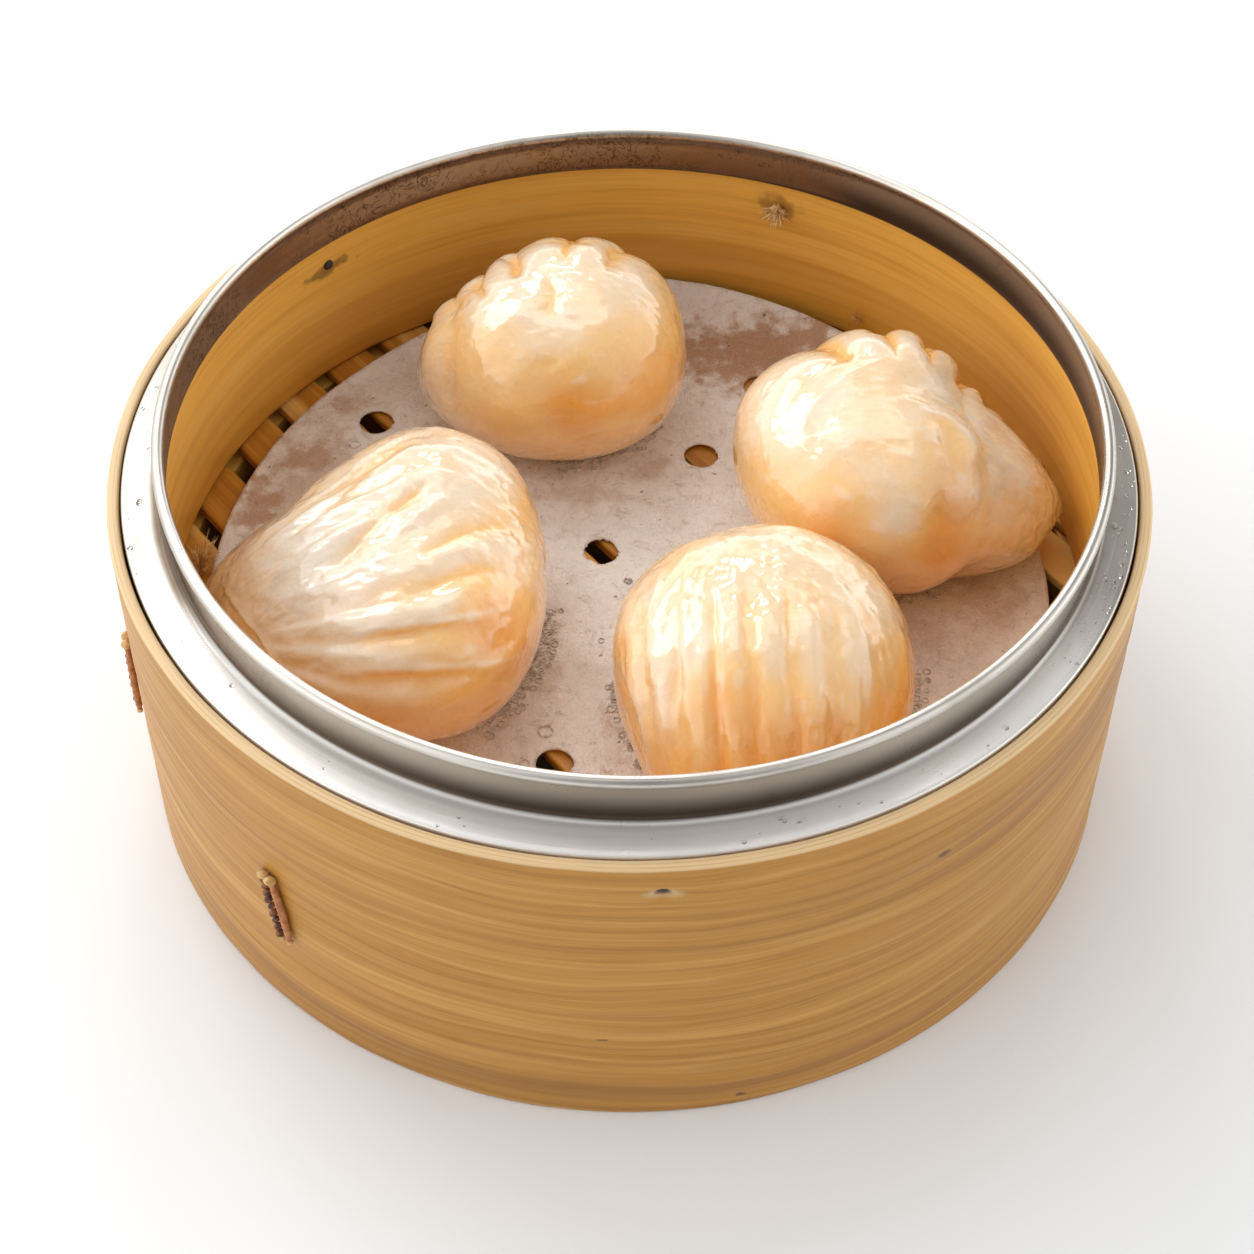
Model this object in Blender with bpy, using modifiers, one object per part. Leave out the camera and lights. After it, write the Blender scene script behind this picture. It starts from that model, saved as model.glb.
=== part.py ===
"""Har gow in a round bamboo steamer: hoops, steel rim, slatted floor, punched paper and four dumplings.

Frame: +Z up, origin at the centre of the base. The steamer's front faces -Y.
Turned pieces are profiles with a Screw modifier. Each dumpling is a closed grid of points
round a pole at the tip of its tail, so that its rows and columns run along its pleats.
"""

import math

import bmesh
import bpy
import numpy as np

MM = 0.001
GAP = 0.3

# Bamboo walls, in millimetres.
OUTER_RADIUS = 85.0
WALL_HEIGHT = 64.5
OUTER_THICKNESS = 2.1
INNER_THICKNESS = 3.7
INNER_RADIUS = 78.0
RIM_ROUND = 0.6
HOOP_SIDES = 56

# Floor of slats.
SLAT_TOP = 33.4
SLAT_THICKNESS = 2.6
SLAT_TURN = math.radians(-51.0)
SLAT_END_RADIUS = 82.2
SLAT_LEAST_WIDTH = 3.0
FLOOR_GAP_CENTRES = (-62.0, -49.5, -36.2, -24.0, -11.5, 0.9, 13.5, 26.0, 40.0, 56.5, 68.5)
FLOOR_GAP_WIDTHS = (3.0, 3.2, 4.2, 3.2, 3.4, 3.2, 3.0, 4.0, 3.4, 5.6, 2.6)

# Steel rim: a rolled bead on a collar, a flat shoulder, and a skirt between the hoops.
BEAD_RADIUS = 76.1
BEAD_TUBE = 1.0
BEAD_HEIGHT = 73.4
SHEET = 0.6
COLLAR_INSIDE = 75.7
SHOULDER_TOP = 64.9
SHOULDER_FALL = 0.3
SKIRT_LENGTH = 7.0
SKIRT_CORNER = 0.5
FILLET = 1.3
STEEL_SIDES = 48

# Paper liner.
PAPER_RADIUS = 72.6
PAPER_THICKNESS = 0.35
PAPER_FLAT = 66.0
PAPER_RISE = 4.2
PAPER_REACH = 4.2
PAPER_RISE_TURN = math.radians(85.0)
PAPER_RISE_SPREAD = math.radians(38.0)
PAPER_SHARES = (0.0, 0.5, 1.0)
PAPER_SIDES = 36
HOLE_RADIUS = 3.1
HOLE_MARGIN = 1.0
HOLE_SIDES = 8
# Rows of holes: middle, radius of the row, number of holes and turn of the first in degrees.
HOLE_ROWS = (
    (-4.7, 7.2, 0.0, 1, 0.0),
    (-4.7, 7.2, 30.0, 6, 54.0),
    (-5.9, 9.4, 50.6, 12, 23.5),
)

# Cane lashings on the outside of the wall: turn in degrees, middle height.
LASHINGS = {"front": (-129.4, 28.6), "left": (-168.0, 28.6)}
LASHING_LENGTH = 14.4
LASHING_LEAN = math.radians(9.0)
LASHING_SPACING = 2.3
STRAND_RADIUS = 0.62
STITCH_RADIUS = 0.78
STITCHES = 6
STITCH_SIDES = 8
STITCH_WAIST = 0.62

PAPER_TOP = SLAT_TOP + GAP + PAPER_THICKNESS
REST_HEIGHT = PAPER_TOP + GAP

# Dumplings. at: middle of the body. size: half lengths towards +X, -X, +Y, -Y, up and down.
# swell: how much the plan bulges as cos and sin of 2, 3 and 4 times the turn, in millimetres.
# tail: turn and slope of the pole, added length, spread and sharpness.
# lobes: turn, slope, height and spread of a rounded swelling.
# fan: pleats along the columns: middle, creases at the girth, spread at the pole and per degree, depth.
# crest: pleats across the rows: creases from the pole, start and end of the band, depth.
# groove: a dent across the rows: angle from the pole, width, start and end of the band, depth.
DUMPLINGS = {
    "dumpling_back_left": {
        "at": (-12.2, 41.5, 50.5),
        "size": (22.6, 21.6, 21.2, 21.8, 16.2, 16.5),
        "roundness": 2.25,
        "swell": ((-0.2, 0.7), (-0.4, -0.5), (0.2, 0.0)),
        "tail": (182.0, -12.0, 4.8, 46.0, 1.0),
        "crest": {
            "creases": (20.0, 36.0, 53.0, 73.0, 103.0, 123.0, 145.0),
            "band": (62.0, 216.0),
            "depth": 1.9,
        },
    },
    "dumpling_right": {
        "at": (41.4, 13.2, 50.5),
        "size": (22.4, 23.9, 24.2, 24.4, 16.2, 16.5),
        "roundness": 2.25,
        "swell": ((-1.4, -1.1), (-0.9, -0.4), (-0.1, -0.6)),
        "tail": (-3.0, -23.0, 16.4, 56.0, 1.2),
        "lobes": ((-26.0, -14.0, 2.2, 24.0),),
        "crest": {"creases": (28.0, 44.0, 57.0, 78.0, 98.0, 118.0), "band": (-40.0, 92.0), "depth": 2.0},
        "groove": (72.0, 9.0, 104.0, 186.0, 1.7),
    },
    "dumpling_front_left": {
        "at": (-34.8, -14.5, 49.5),
        "size": (23.4, 22.4, 27.6, 28.6, 15.6, 15.5),
        "roundness": 2.2,
        "swell": ((-1.6, -0.1), (-1.1, -0.1), (0.9, 0.0)),
        "tail": (159.0, -23.0, 17.5, 60.0, 1.6),
        "lobes": ((208.0, -24.0, 9.5, 34.0),),
        "fan": {
            "pole": (188.0, -20.0),
            "middle": 55.0,
            "creases": (-58.0, -43.0, -29.0, -16.0, 13.0, 43.0, 66.0, 88.0),
            "spread": (0.40, 0.006),
            "depth": 1.5,
        },
    },
    "dumpling_front_right": {
        "at": (21.6, -32.4, 50.2),
        "size": (24.6, 24.9, 22.4, 25.2, 16.2, 16.2),
        "roundness": 2.3,
        "swell": ((-1.1, 0.0), (0.0, -0.3), (0.2, -0.3)),
        "tail": (-88.0, -22.0, 12.0, 62.0, 1.4),
        "fan": {
            "pole": (-88.0, -20.0),
            "middle": 83.0,
            "creases": (-70.0, -48.0, -26.0, 0.0, 21.0, 46.0, 68.0, 86.0),
            "spread": (0.25, 0.0077),
            "depth": 1.5,
        },
    },
}
ROWS = 20
PLAIN_COLUMNS = 13
CREST_COLUMNS = 30
POLE_HOLE = 4.0
BAND_END = 24.0
FAN_FADE_IN = (8.0, 50.0)
FAN_FADE_OUT = (128.0, 172.0)
FLOOR_SOFTNESS = 0.8

# Frayed bamboo: turn in degrees, height and distance inside the inner wall; the way that the
# spikes point, as inwards, along the wall and up; and their length, width and number.
FRAYED = {
    "wall_peg": ((69.4, 58.2, 0.6), (1.0, 0.0, 0.0), 2.2, 4.2, 6),
    "slat_tuft": ((178.8, 33.7, 3.4), (0.25, -0.1, 1.0), 5.0, 2.4, 7),
    "wall_splinter_back": ((56.1, 38.4, 1.0), (0.71, 0.07, 1.1), 4.2, 1.0, 3),
    "wall_splinter_right": ((17.6, 38.7, 0.9), (0.4, 0.2, 1.0), 3.0, 1.4, 4),
}
SPIKE_SEED = 5

# Materials: name, colour, roughness and metallic.
MATERIALS = {
    "bamboo": ("Bamboo wall", (0.62, 0.36, 0.13), 0.55, 0.0),
    "slat": ("Bamboo slat", (0.50, 0.25, 0.06), 0.6, 0.0),
    "steel": ("Steel", (0.62, 0.61, 0.59), 0.3, 1.0),
    "paper": ("Wet paper", (0.70, 0.62, 0.58), 0.4, 0.0),
    "skin": ("Dumpling skin", (0.85, 0.62, 0.42), 0.3, 0.0),
    "cane": ("Cane", (0.42, 0.14, 0.06), 0.5, 0.0),
    "stitch": ("Cane stitches", (0.22, 0.07, 0.04), 0.6, 0.0),
    "frayed": ("Frayed bamboo", (0.72, 0.45, 0.18), 0.7, 0.0),
}


def clear_scene():
    """Remove every object, so that the model starts from an empty scene."""
    for obj in list(bpy.data.objects):
        bpy.data.objects.remove(obj, do_unlink=True)


def make_collection(name):
    """A new collection in the scene."""
    collection = bpy.data.collections.new(name)
    bpy.context.scene.collection.children.link(collection)
    return collection


def make_material(name, colour, roughness, metallic):
    """A Principled material with one colour, roughness and metallic value."""
    material = bpy.data.materials.new(name)
    material.use_nodes = True
    shader = material.node_tree.nodes["Principled BSDF"]
    shader.inputs["Base Color"].default_value = (*colour, 1.0)
    shader.inputs["Roughness"].default_value = roughness
    shader.inputs["Metallic"].default_value = metallic
    return material


def add_object(name, data, material, collection):
    """An object with one material, linked into the part's collection."""
    obj = bpy.data.objects.new(name, data)
    obj.data.materials.append(material)
    collection.objects.link(obj)
    return obj


def mesh_from(name, points, faces, material, collection):
    """A smooth mesh from points in millimetres, with its faces turned outwards."""
    mesh = bpy.data.meshes.new(name)
    mesh.from_pydata((np.asarray(points, float) * MM).tolist(), [], faces)
    work = bmesh.new()
    work.from_mesh(mesh)
    bmesh.ops.recalc_face_normals(work, faces=work.faces)
    work.to_mesh(mesh)
    work.free()
    mesh.shade_smooth()
    return add_object(name, mesh, material, collection)


def turned(name, profile, sides, material, collection):
    """A closed profile of (radius, height) carried once round the Z axis.

    The profile runs down its outer side, inwards, up its inner side and outwards.
    """
    mesh = bpy.data.meshes.new(name)
    count = len(profile)
    corners = [(radius * MM, 0.0, height * MM) for radius, height in profile]
    edges = [(i, (i + 1) % count) for i in range(count)]
    mesh.from_pydata(corners, edges, [])
    obj = add_object(name, mesh, material, collection)
    screw = obj.modifiers.new("Turn", "SCREW")
    screw.axis = "Z"
    screw.angle = 2.0 * math.pi
    screw.steps = sides
    screw.render_steps = sides
    screw.use_merge_vertices = True
    screw.merge_threshold = 0.00005
    screw.use_smooth_shade = True
    return obj


def arc(centre, radius, start, end, steps):
    """Points of (radius, height) on an arc, with its angles in degrees."""
    angles = np.radians(np.linspace(start, end, steps))
    return [(centre[0] + radius * math.cos(a), centre[1] + radius * math.sin(a)) for a in angles]


def hoop_profile(inside, outside, low, high, edge):
    """A strip of bamboo seen from its end. A visible rim has its four edges cut off at an angle."""
    if edge == 0.0:
        return [(outside, high), (outside, low), (inside, low), (inside, high)]
    return [
        (outside - edge, high),
        (outside, high - edge),
        (outside, low + edge),
        (outside - edge, low),
        (inside + edge, low),
        (inside, low + edge),
        (inside, high - edge),
        (inside + edge, high),
    ]


def add_hoops(material, collection):
    """The outer wall, and the two inner hoops that hold the floor between them."""
    outer_inside = OUTER_RADIUS - OUTER_THICKNESS
    inner_outside = INNER_RADIUS + INNER_THICKNESS
    slat_bottom = SLAT_TOP - SLAT_THICKNESS
    upper_top = SHOULDER_TOP - SHEET - SHOULDER_FALL - GAP
    hoops = {
        "outer_hoop": (outer_inside, OUTER_RADIUS, 0.0, WALL_HEIGHT, RIM_ROUND),
        "lower_inner_hoop": (INNER_RADIUS, inner_outside, 0.0, slat_bottom - GAP, 0.0),
        "upper_inner_hoop": (INNER_RADIUS, inner_outside, SLAT_TOP + GAP, upper_top, 0.0),
    }
    for name, section in hoops.items():
        profile = hoop_profile(*section)
        turned(name, profile, HOOP_SIDES, material, collection)


def add_steel_rim(material, collection):
    """One pressed sheet: bead, collar, fillet, shoulder and hidden skirt, as a closed section."""
    collar_outside = COLLAR_INSIDE + SHEET
    skirt_inside = INNER_RADIUS + INNER_THICKNESS + GAP
    skirt_outside = skirt_inside + SHEET
    shoulder_end = SHOULDER_TOP - SHOULDER_FALL
    bead = (BEAD_RADIUS, BEAD_HEIGHT)
    fillet_middle = (collar_outside + FILLET, SHOULDER_TOP + FILLET)
    under_middle = (collar_outside + FILLET, SHOULDER_TOP + FILLET - SHEET)
    profile = arc(bead, BEAD_TUBE, 90.0, -75.0, 5)
    profile += arc(fillet_middle, FILLET, 180.0, 270.0, 3)
    profile += [(skirt_outside - SKIRT_CORNER, shoulder_end), (skirt_outside, shoulder_end - SKIRT_CORNER)]
    profile += [(skirt_outside, shoulder_end - SKIRT_LENGTH), (skirt_inside, shoulder_end - SKIRT_LENGTH)]
    profile += [(skirt_inside, shoulder_end - SHEET)]
    profile += arc(under_middle, FILLET + SHEET, 270.0, 180.0, 3)
    profile += arc(bead, BEAD_TUBE, 215.0, 140.0, 2)
    turned("steel_rim", profile, STEEL_SIDES, material, collection)


def slat_outline(start, end):
    """A strip between two distances across the floor, with both ends cut to the round wall."""
    across = np.linspace(start, end, 3)
    reach = np.sqrt(np.maximum(SLAT_END_RADIUS**2 - across**2, 0.0))
    far = np.column_stack([reach, across])
    near = np.column_stack([-reach[::-1], across[::-1]])
    return np.vstack([near, far])[::-1]


def add_slats(material, collection):
    """Parallel bamboo slats: each is a flat outline, given its thickness by an extrude."""
    gap_edges = [(c - w / 2.0, c + w / 2.0) for c, w in zip(FLOOR_GAP_CENTRES, FLOOR_GAP_WIDTHS)]
    rim = SLAT_END_RADIUS - SLAT_LEAST_WIDTH
    starts = [-rim] + [high for _, high in gap_edges]
    ends = [low for low, _ in gap_edges] + [rim]
    for number, (start, end) in enumerate(zip(starts, ends), 1):
        outline = slat_outline(start, end)
        curve = bpy.data.curves.new(f"slat_{number:02d}", "CURVE")
        curve.dimensions = "2D"
        curve.fill_mode = "BOTH"
        curve.extrude = SLAT_THICKNESS / 2.0 * MM
        spline = curve.splines.new("POLY")
        spline.points.add(len(outline) - 1)
        for point, (x, y) in zip(spline.points, outline):
            point.co = (x * MM, y * MM, 0.0, 1.0)
        spline.use_cyclic_u = True
        slat = add_object(curve.name, curve, material, collection)
        slat.location.z = (SLAT_TOP - SLAT_THICKNESS / 2.0) * MM
        slat.rotation_euler.z = SLAT_TURN


def paper_edge(turns, share):
    """Radius, and height above the flat paper, at a share of the way from the flat part to the edge."""
    away = np.angle(np.exp(1j * (turns - PAPER_RISE_TURN)))
    rise = np.exp(-((away / PAPER_RISE_SPREAD) ** 2))
    radius = PAPER_FLAT + share * (PAPER_RADIUS + PAPER_REACH * rise - PAPER_FLAT)
    return radius, PAPER_RISE * rise * share**2


def add_paper(material, collection):
    """A round sheet with punched holes: a filled flat middle, a turned-up border and a thickness."""
    work = bmesh.new()
    bottom = (SLAT_TOP + GAP) * MM
    turns = np.arange(PAPER_SIDES) * 2.0 * math.pi / PAPER_SIDES
    rings = []
    for share in PAPER_SHARES:
        radius, rise = paper_edge(turns, share)
        places = zip(radius * np.cos(turns) * MM, radius * np.sin(turns) * MM, bottom + rise * MM)
        rings.append([work.verts.new(place) for place in places])
    following = rings[0][1:] + rings[0][:1]
    edges = [work.edges.new(pair) for pair in zip(rings[0], following)]
    corner_turns = np.arange(HOLE_SIDES) * 2.0 * math.pi / HOLE_SIDES
    for middle_x, middle_y, row_radius, count, first in HOLE_ROWS:
        for turn in math.radians(first) + np.arange(count) * 2.0 * math.pi / count:
            x = middle_x + row_radius * math.cos(turn)
            y = middle_y + row_radius * math.sin(turn)
            if math.hypot(x, y) > PAPER_FLAT - HOLE_RADIUS - HOLE_MARGIN:
                continue
            corners_x = (x + HOLE_RADIUS * np.cos(corner_turns)) * MM
            corners_y = (y + HOLE_RADIUS * np.sin(corner_turns)) * MM
            spots = [work.verts.new((*place, bottom)) for place in zip(corners_x, corners_y)]
            edges += [work.edges.new(pair) for pair in zip(spots, spots[1:] + spots[:1])]
    bmesh.ops.triangle_fill(work, use_beauty=True, use_dissolve=False, edges=edges)
    for inner, outer in zip(rings, rings[1:]):
        for i in range(PAPER_SIDES):
            j = (i + 1) % PAPER_SIDES
            work.faces.new((inner[i], inner[j], outer[j], outer[i]))
    bmesh.ops.recalc_face_normals(work, faces=work.faces)
    if sum(face.normal.z for face in work.faces) < 0.0:
        bmesh.ops.reverse_faces(work, faces=work.faces)
    mesh = bpy.data.meshes.new("paper_liner")
    work.to_mesh(mesh)
    work.free()
    paper = add_object("paper_liner", mesh, material, collection)
    wall = paper.modifiers.new("Thickness", "SOLIDIFY")
    wall.thickness = PAPER_THICKNESS * MM
    wall.offset = 1.0


def ball_frame(turn, slope):
    """Three unit vectors: towards a turn and slope in degrees, to its left, and up across it."""
    turn = math.radians(turn)
    slope = math.radians(slope)
    ahead = np.array([math.cos(slope) * math.cos(turn), math.cos(slope) * math.sin(turn), math.sin(slope)])
    left = np.array([-math.sin(turn), math.cos(turn), 0.0])
    return ahead, left, np.cross(ahead, left)


def angle_to(directions, turn, slope):
    """Angle in degrees between each direction and one towards a turn and slope."""
    ahead = ball_frame(turn, slope)[0]
    return np.degrees(np.arccos(np.clip(directions @ ahead, -1.0, 1.0)))


def smooth_step(value, low, high):
    """0 below low, 1 above high, and an S-shaped rise between."""
    share = np.clip((value - low) / (high - low), 0.0, 1.0)
    return share * share * (3.0 - 2.0 * share)


def fan_columns(fan, from_pole):
    """Turn of each column round the pole, and its height from crease (0) to ridge (1).

    Columns follow the creases and the ridges midway between them; the spread grows with the
    distance from the pole, and plain columns share the rest of the way round.
    """
    creases = np.array(fan["creases"])
    ridges = (creases[1:] + creases[:-1]) / 2.0
    pleated = np.sort(np.concatenate([creases, ridges]))
    height = np.isin(pleated, ridges).astype(float)
    spread = fan["spread"][0] + fan["spread"][1] * from_pole
    turns = fan["middle"] + pleated[None, :] * spread
    share = np.arange(1, PLAIN_COLUMNS + 1)[None, :] / (PLAIN_COLUMNS + 1)
    plain = turns[:, -1:] + share * (turns[:, :1] + 360.0 - turns[:, -1:])
    heights = np.concatenate([height, np.full(PLAIN_COLUMNS, 0.5)])
    return np.radians(np.hstack([turns, plain])), heights[None, :]


def crest_rows(creases):
    """Angles from the pole for the rows, with one on each crease and on each ridge between, and heights."""
    creases = np.array(creases)
    ridges = (creases[1:] + creases[:-1]) / 2.0
    pleated = np.sort(np.concatenate([creases, ridges]))
    last = np.linspace(pleated[-1], 180.0 - POLE_HOLE, 6)[1:]
    first = np.linspace(POLE_HOLE, pleated[0], 3)[:-1]
    rows = np.concatenate([first, pleated, last])
    return np.radians(rows)[:, None], np.isin(rows, ridges).astype(float)[:, None]


def body_radius(shape, directions):
    """Distance from the middle to the skin: a rounded box of six half lengths, swollen in plan.

    The k-th root of the sum of (direction / half length) to the k gives the plain body;
    cosines of the turn swell it, the tail adds a tapering length, and lobes add round humps.
    """
    x, y, z = directions[..., 0], directions[..., 1], directions[..., 2]
    right, left, back, front, top, base = shape["size"]
    half_x = np.where(x > 0.0, right, left)
    half_y = np.where(y > 0.0, back, front)
    half_z = np.where(z > 0.0, top, base)
    power = shape["roundness"]
    total = (np.abs(x) / half_x) ** power + (np.abs(y) / half_y) ** power + (np.abs(z) / half_z) ** power
    radius = total ** (-1.0 / power)
    turn = np.arctan2(y, x)
    level = x * x + y * y
    for order, (cosine, sine) in enumerate(shape["swell"], 2):
        radius = radius + level * (cosine * np.cos(order * turn) + sine * np.sin(order * turn))
    tail_turn, tail_slope, length, spread, sharpness = shape["tail"]
    share = np.clip(angle_to(directions, tail_turn, tail_slope) / spread, 0.0, 1.0)
    radius = radius + length * (1.0 - share) ** sharpness * (1.0 - 0.25 * share)
    for turn_at, slope_at, height, width in shape.get("lobes", ()):
        radius = radius + height * np.exp(-((angle_to(directions, turn_at, slope_at) / width) ** 2))
    return radius


def band_mask(turns, start, end):
    """1 inside a band of turns in degrees, with soft ends."""
    middle = (start + end) / 2.0
    away = np.abs((np.degrees(turns) - middle + 180.0) % 360.0 - 180.0)
    half = (end - start) / 2.0
    return 1.0 - smooth_step(away, half - BAND_END, half)


def dumpling_grid(shape):
    """Points of a dumpling as rows from its pole: skin distance plus the height of its pleats."""
    if "fan" in shape:
        fan = shape["fan"]
        pole = fan["pole"]
        degrees = np.linspace(POLE_HOLE, 180.0 - POLE_HOLE, ROWS)[:, None]
        from_pole = np.radians(degrees)
        turns, heights = fan_columns(fan, degrees)
        fade = smooth_step(degrees, *FAN_FADE_IN) * (1.0 - smooth_step(degrees, *FAN_FADE_OUT))
        pleats = fan["depth"] * (2.0 * heights - 1.0) * fade
    else:
        crest = shape["crest"]
        pole = shape["tail"][:2]
        from_pole, heights = crest_rows(crest["creases"])
        turns = np.arange(CREST_COLUMNS)[None, :] * 2.0 * math.pi / CREST_COLUMNS
        pleats = crest["depth"] * (heights - 0.6) * band_mask(turns, *crest["band"])
    ahead, left, up = ball_frame(*pole)
    from_pole, turns = np.broadcast_arrays(from_pole, turns)
    directions = (
        np.cos(from_pole)[..., None] * ahead
        + (np.sin(from_pole) * np.cos(turns))[..., None] * left
        + (np.sin(from_pole) * np.sin(turns))[..., None] * up
    )
    radius = body_radius(shape, directions) + pleats
    if "groove" in shape:
        angle, width, start, end, depth = shape["groove"]
        dent = np.exp(-(((np.degrees(from_pole) - angle) / width) ** 2))
        radius = radius - depth * dent * band_mask(turns, start, end)
    points = radius[..., None] * directions + np.array(shape["at"])
    above = (points[..., 2] - REST_HEIGHT) / FLOOR_SOFTNESS
    points[..., 2] = REST_HEIGHT + FLOOR_SOFTNESS * np.logaddexp(0.0, above)
    return points


def add_dumpling(name, shape, material, collection):
    """One dumpling: a grid of points closed round its girth, with both poles capped by a fan."""
    grid = dumpling_grid(shape)
    rows, columns = grid.shape[:2]
    points = np.vstack([grid.reshape(-1, 3), grid[0].mean(axis=0), grid[-1].mean(axis=0)])
    first_pole = rows * columns
    faces = []
    for row in range(rows - 1):
        for column in range(columns):
            a = row * columns + column
            b = row * columns + (column + 1) % columns
            faces.append((a, b, b + columns, a + columns))
    for column in range(columns):
        following = (column + 1) % columns
        last = (rows - 1) * columns
        faces.append((first_pole, following, column))
        faces.append((first_pole + 1, last + column, last + following))
    return mesh_from(name, points, faces, material, collection)


def wall_point(turn_degrees, height, sideways, outwards):
    """A point beside the outer wall: a distance along it, a height, and a distance off it."""
    turn = math.radians(turn_degrees) + sideways / OUTER_RADIUS
    radius = OUTER_RADIUS + outwards
    return np.array([radius * math.cos(turn), radius * math.sin(turn), height])


def lashing_run(turn, middle, sideways, outwards, share):
    """A point on a leaning lashing, at a share from 0 at its foot to 1 at its top."""
    along = (share - 0.5) * LASHING_LENGTH
    lean = -along * math.sin(LASHING_LEAN)
    return wall_point(turn, middle + along * math.cos(LASHING_LEAN), sideways + lean, outwards)


def add_lashings(cane, stitch, collection):
    """Each lashing is a smooth cane strand beside a row of tight stitches."""
    half = LASHING_SPACING / 2.0
    for place, (turn, middle) in LASHINGS.items():
        curve = bpy.data.curves.new(f"lashing_strand_{place}", "CURVE")
        curve.dimensions = "3D"
        curve.bevel_depth = STRAND_RADIUS * MM
        curve.bevel_resolution = 2
        curve.use_fill_caps = True
        spline = curve.splines.new("POLY")
        shares = np.linspace(0.0, 1.0, 5)
        spline.points.add(len(shares) - 1)
        for point, share in zip(spline.points, shares):
            place_mm = lashing_run(turn, middle, half, STRAND_RADIUS + GAP, share)
            point.co = (*(place_mm * MM), 1.0)
        add_object(curve.name, curve, cane, collection)
        add_stitches(f"lashing_stitches_{place}", turn, middle, -half, stitch, collection)


def add_stitches(name, turn, middle, sideways, material, collection):
    """A row of stitches: eight-sided sections whose width swells once for each stitch."""
    sides = STITCH_SIDES
    shares = np.linspace(0.0, 1.0, 2 * STITCHES + 1)
    swell = np.where(np.arange(len(shares)) % 2 == 0, STITCH_WAIST, 1.0)
    rows = []
    for share, scale in zip(shares, swell):
        middle_point = lashing_run(turn, middle, sideways, STITCH_RADIUS + GAP, share)
        out = np.array([middle_point[0], middle_point[1], 0.0])
        out = out / np.linalg.norm(out)
        along = np.cross([0.0, 0.0, 1.0], out)
        angles = np.arange(sides) * 2.0 * math.pi / sides
        ring = np.outer(np.cos(angles), out) + np.outer(np.sin(angles), along)
        rows.append(middle_point + STITCH_RADIUS * scale * ring)
    points = np.vstack(rows)
    faces = [tuple(range(sides)), tuple(range(len(points) - sides, len(points)))]
    for row in range(len(rows) - 1):
        for side in range(sides):
            a = row * sides + side
            b = row * sides + (side + 1) % sides
            faces.append((a, b, b + sides, a + sides))
    mesh_from(name, points, faces, material, collection)


def wall_directions(turn_degrees):
    """Three unit vectors at a place on the inner wall: inwards, along the wall, and up."""
    turn = math.radians(turn_degrees)
    inwards = np.array([-math.cos(turn), -math.sin(turn), 0.0])
    along = np.array([-math.sin(turn), math.cos(turn), 0.0])
    return np.array([inwards, along, [0.0, 0.0, 1.0]])


def add_spikes(name, place, lean, length, width, spikes, material, random, collection):
    """A frayed end: a round base from which a ring of uneven spikes points the same way."""
    turn, height, off_wall = place
    ways = wall_directions(turn)
    base = (off_wall - INNER_RADIUS) * ways[0] + height * ways[2]
    out = np.array(lean) @ ways
    out = out / np.linalg.norm(out)
    side = np.cross(out, ways[1])
    side = side / np.linalg.norm(side)
    across = np.cross(out, side)
    sides = 2 * spikes
    angles = np.arange(sides) * 2.0 * math.pi / sides
    ring = (np.outer(np.cos(angles), side) + np.outer(np.sin(angles), across)) * width / 2.0
    is_tip = (np.arange(sides) % 2 == 0)[:, None]
    reach = np.where(is_tip, random.uniform(0.7, 1.0, (sides, 1)), 0.35) * length
    flare = np.where(is_tip, random.uniform(0.9, 1.5, (sides, 1)), 0.45)
    middle = base + out * length * 0.3
    points = np.vstack([base + ring, base + ring * flare + out * reach, [base], [middle]])
    faces = []
    for i in range(sides):
        j = (i + 1) % sides
        faces.append((i, j, sides + j, sides + i))
        faces.append((2 * sides, j, i))
        faces.append((2 * sides + 1, sides + i, sides + j))
    mesh_from(name, points, faces, material, collection)


def main():
    """Build every piece of the steamer and its dumplings."""
    clear_scene()
    collection = make_collection("Har gow steamer")
    materials = {key: make_material(*values) for key, values in MATERIALS.items()}
    add_hoops(materials["bamboo"], collection)
    add_steel_rim(materials["steel"], collection)
    add_slats(materials["slat"], collection)
    add_paper(materials["paper"], collection)
    for name, shape in DUMPLINGS.items():
        add_dumpling(name, shape, materials["skin"], collection)
    add_lashings(materials["cane"], materials["stitch"], collection)
    random = np.random.default_rng(SPIKE_SEED)
    for name, shape in FRAYED.items():
        add_spikes(name, *shape, materials["frayed"], random, collection)


main()
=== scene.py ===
"""Har gow in a round bamboo steamer: the finish of every piece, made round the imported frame.

Lengths in this file are in millimetres, and in metres where a property says so. The origin is
the middle of the base, +Z is up and the front faces -Y. Turns are degrees round Z from +X,
slopes are degrees above the level.
"""

import math

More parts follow.
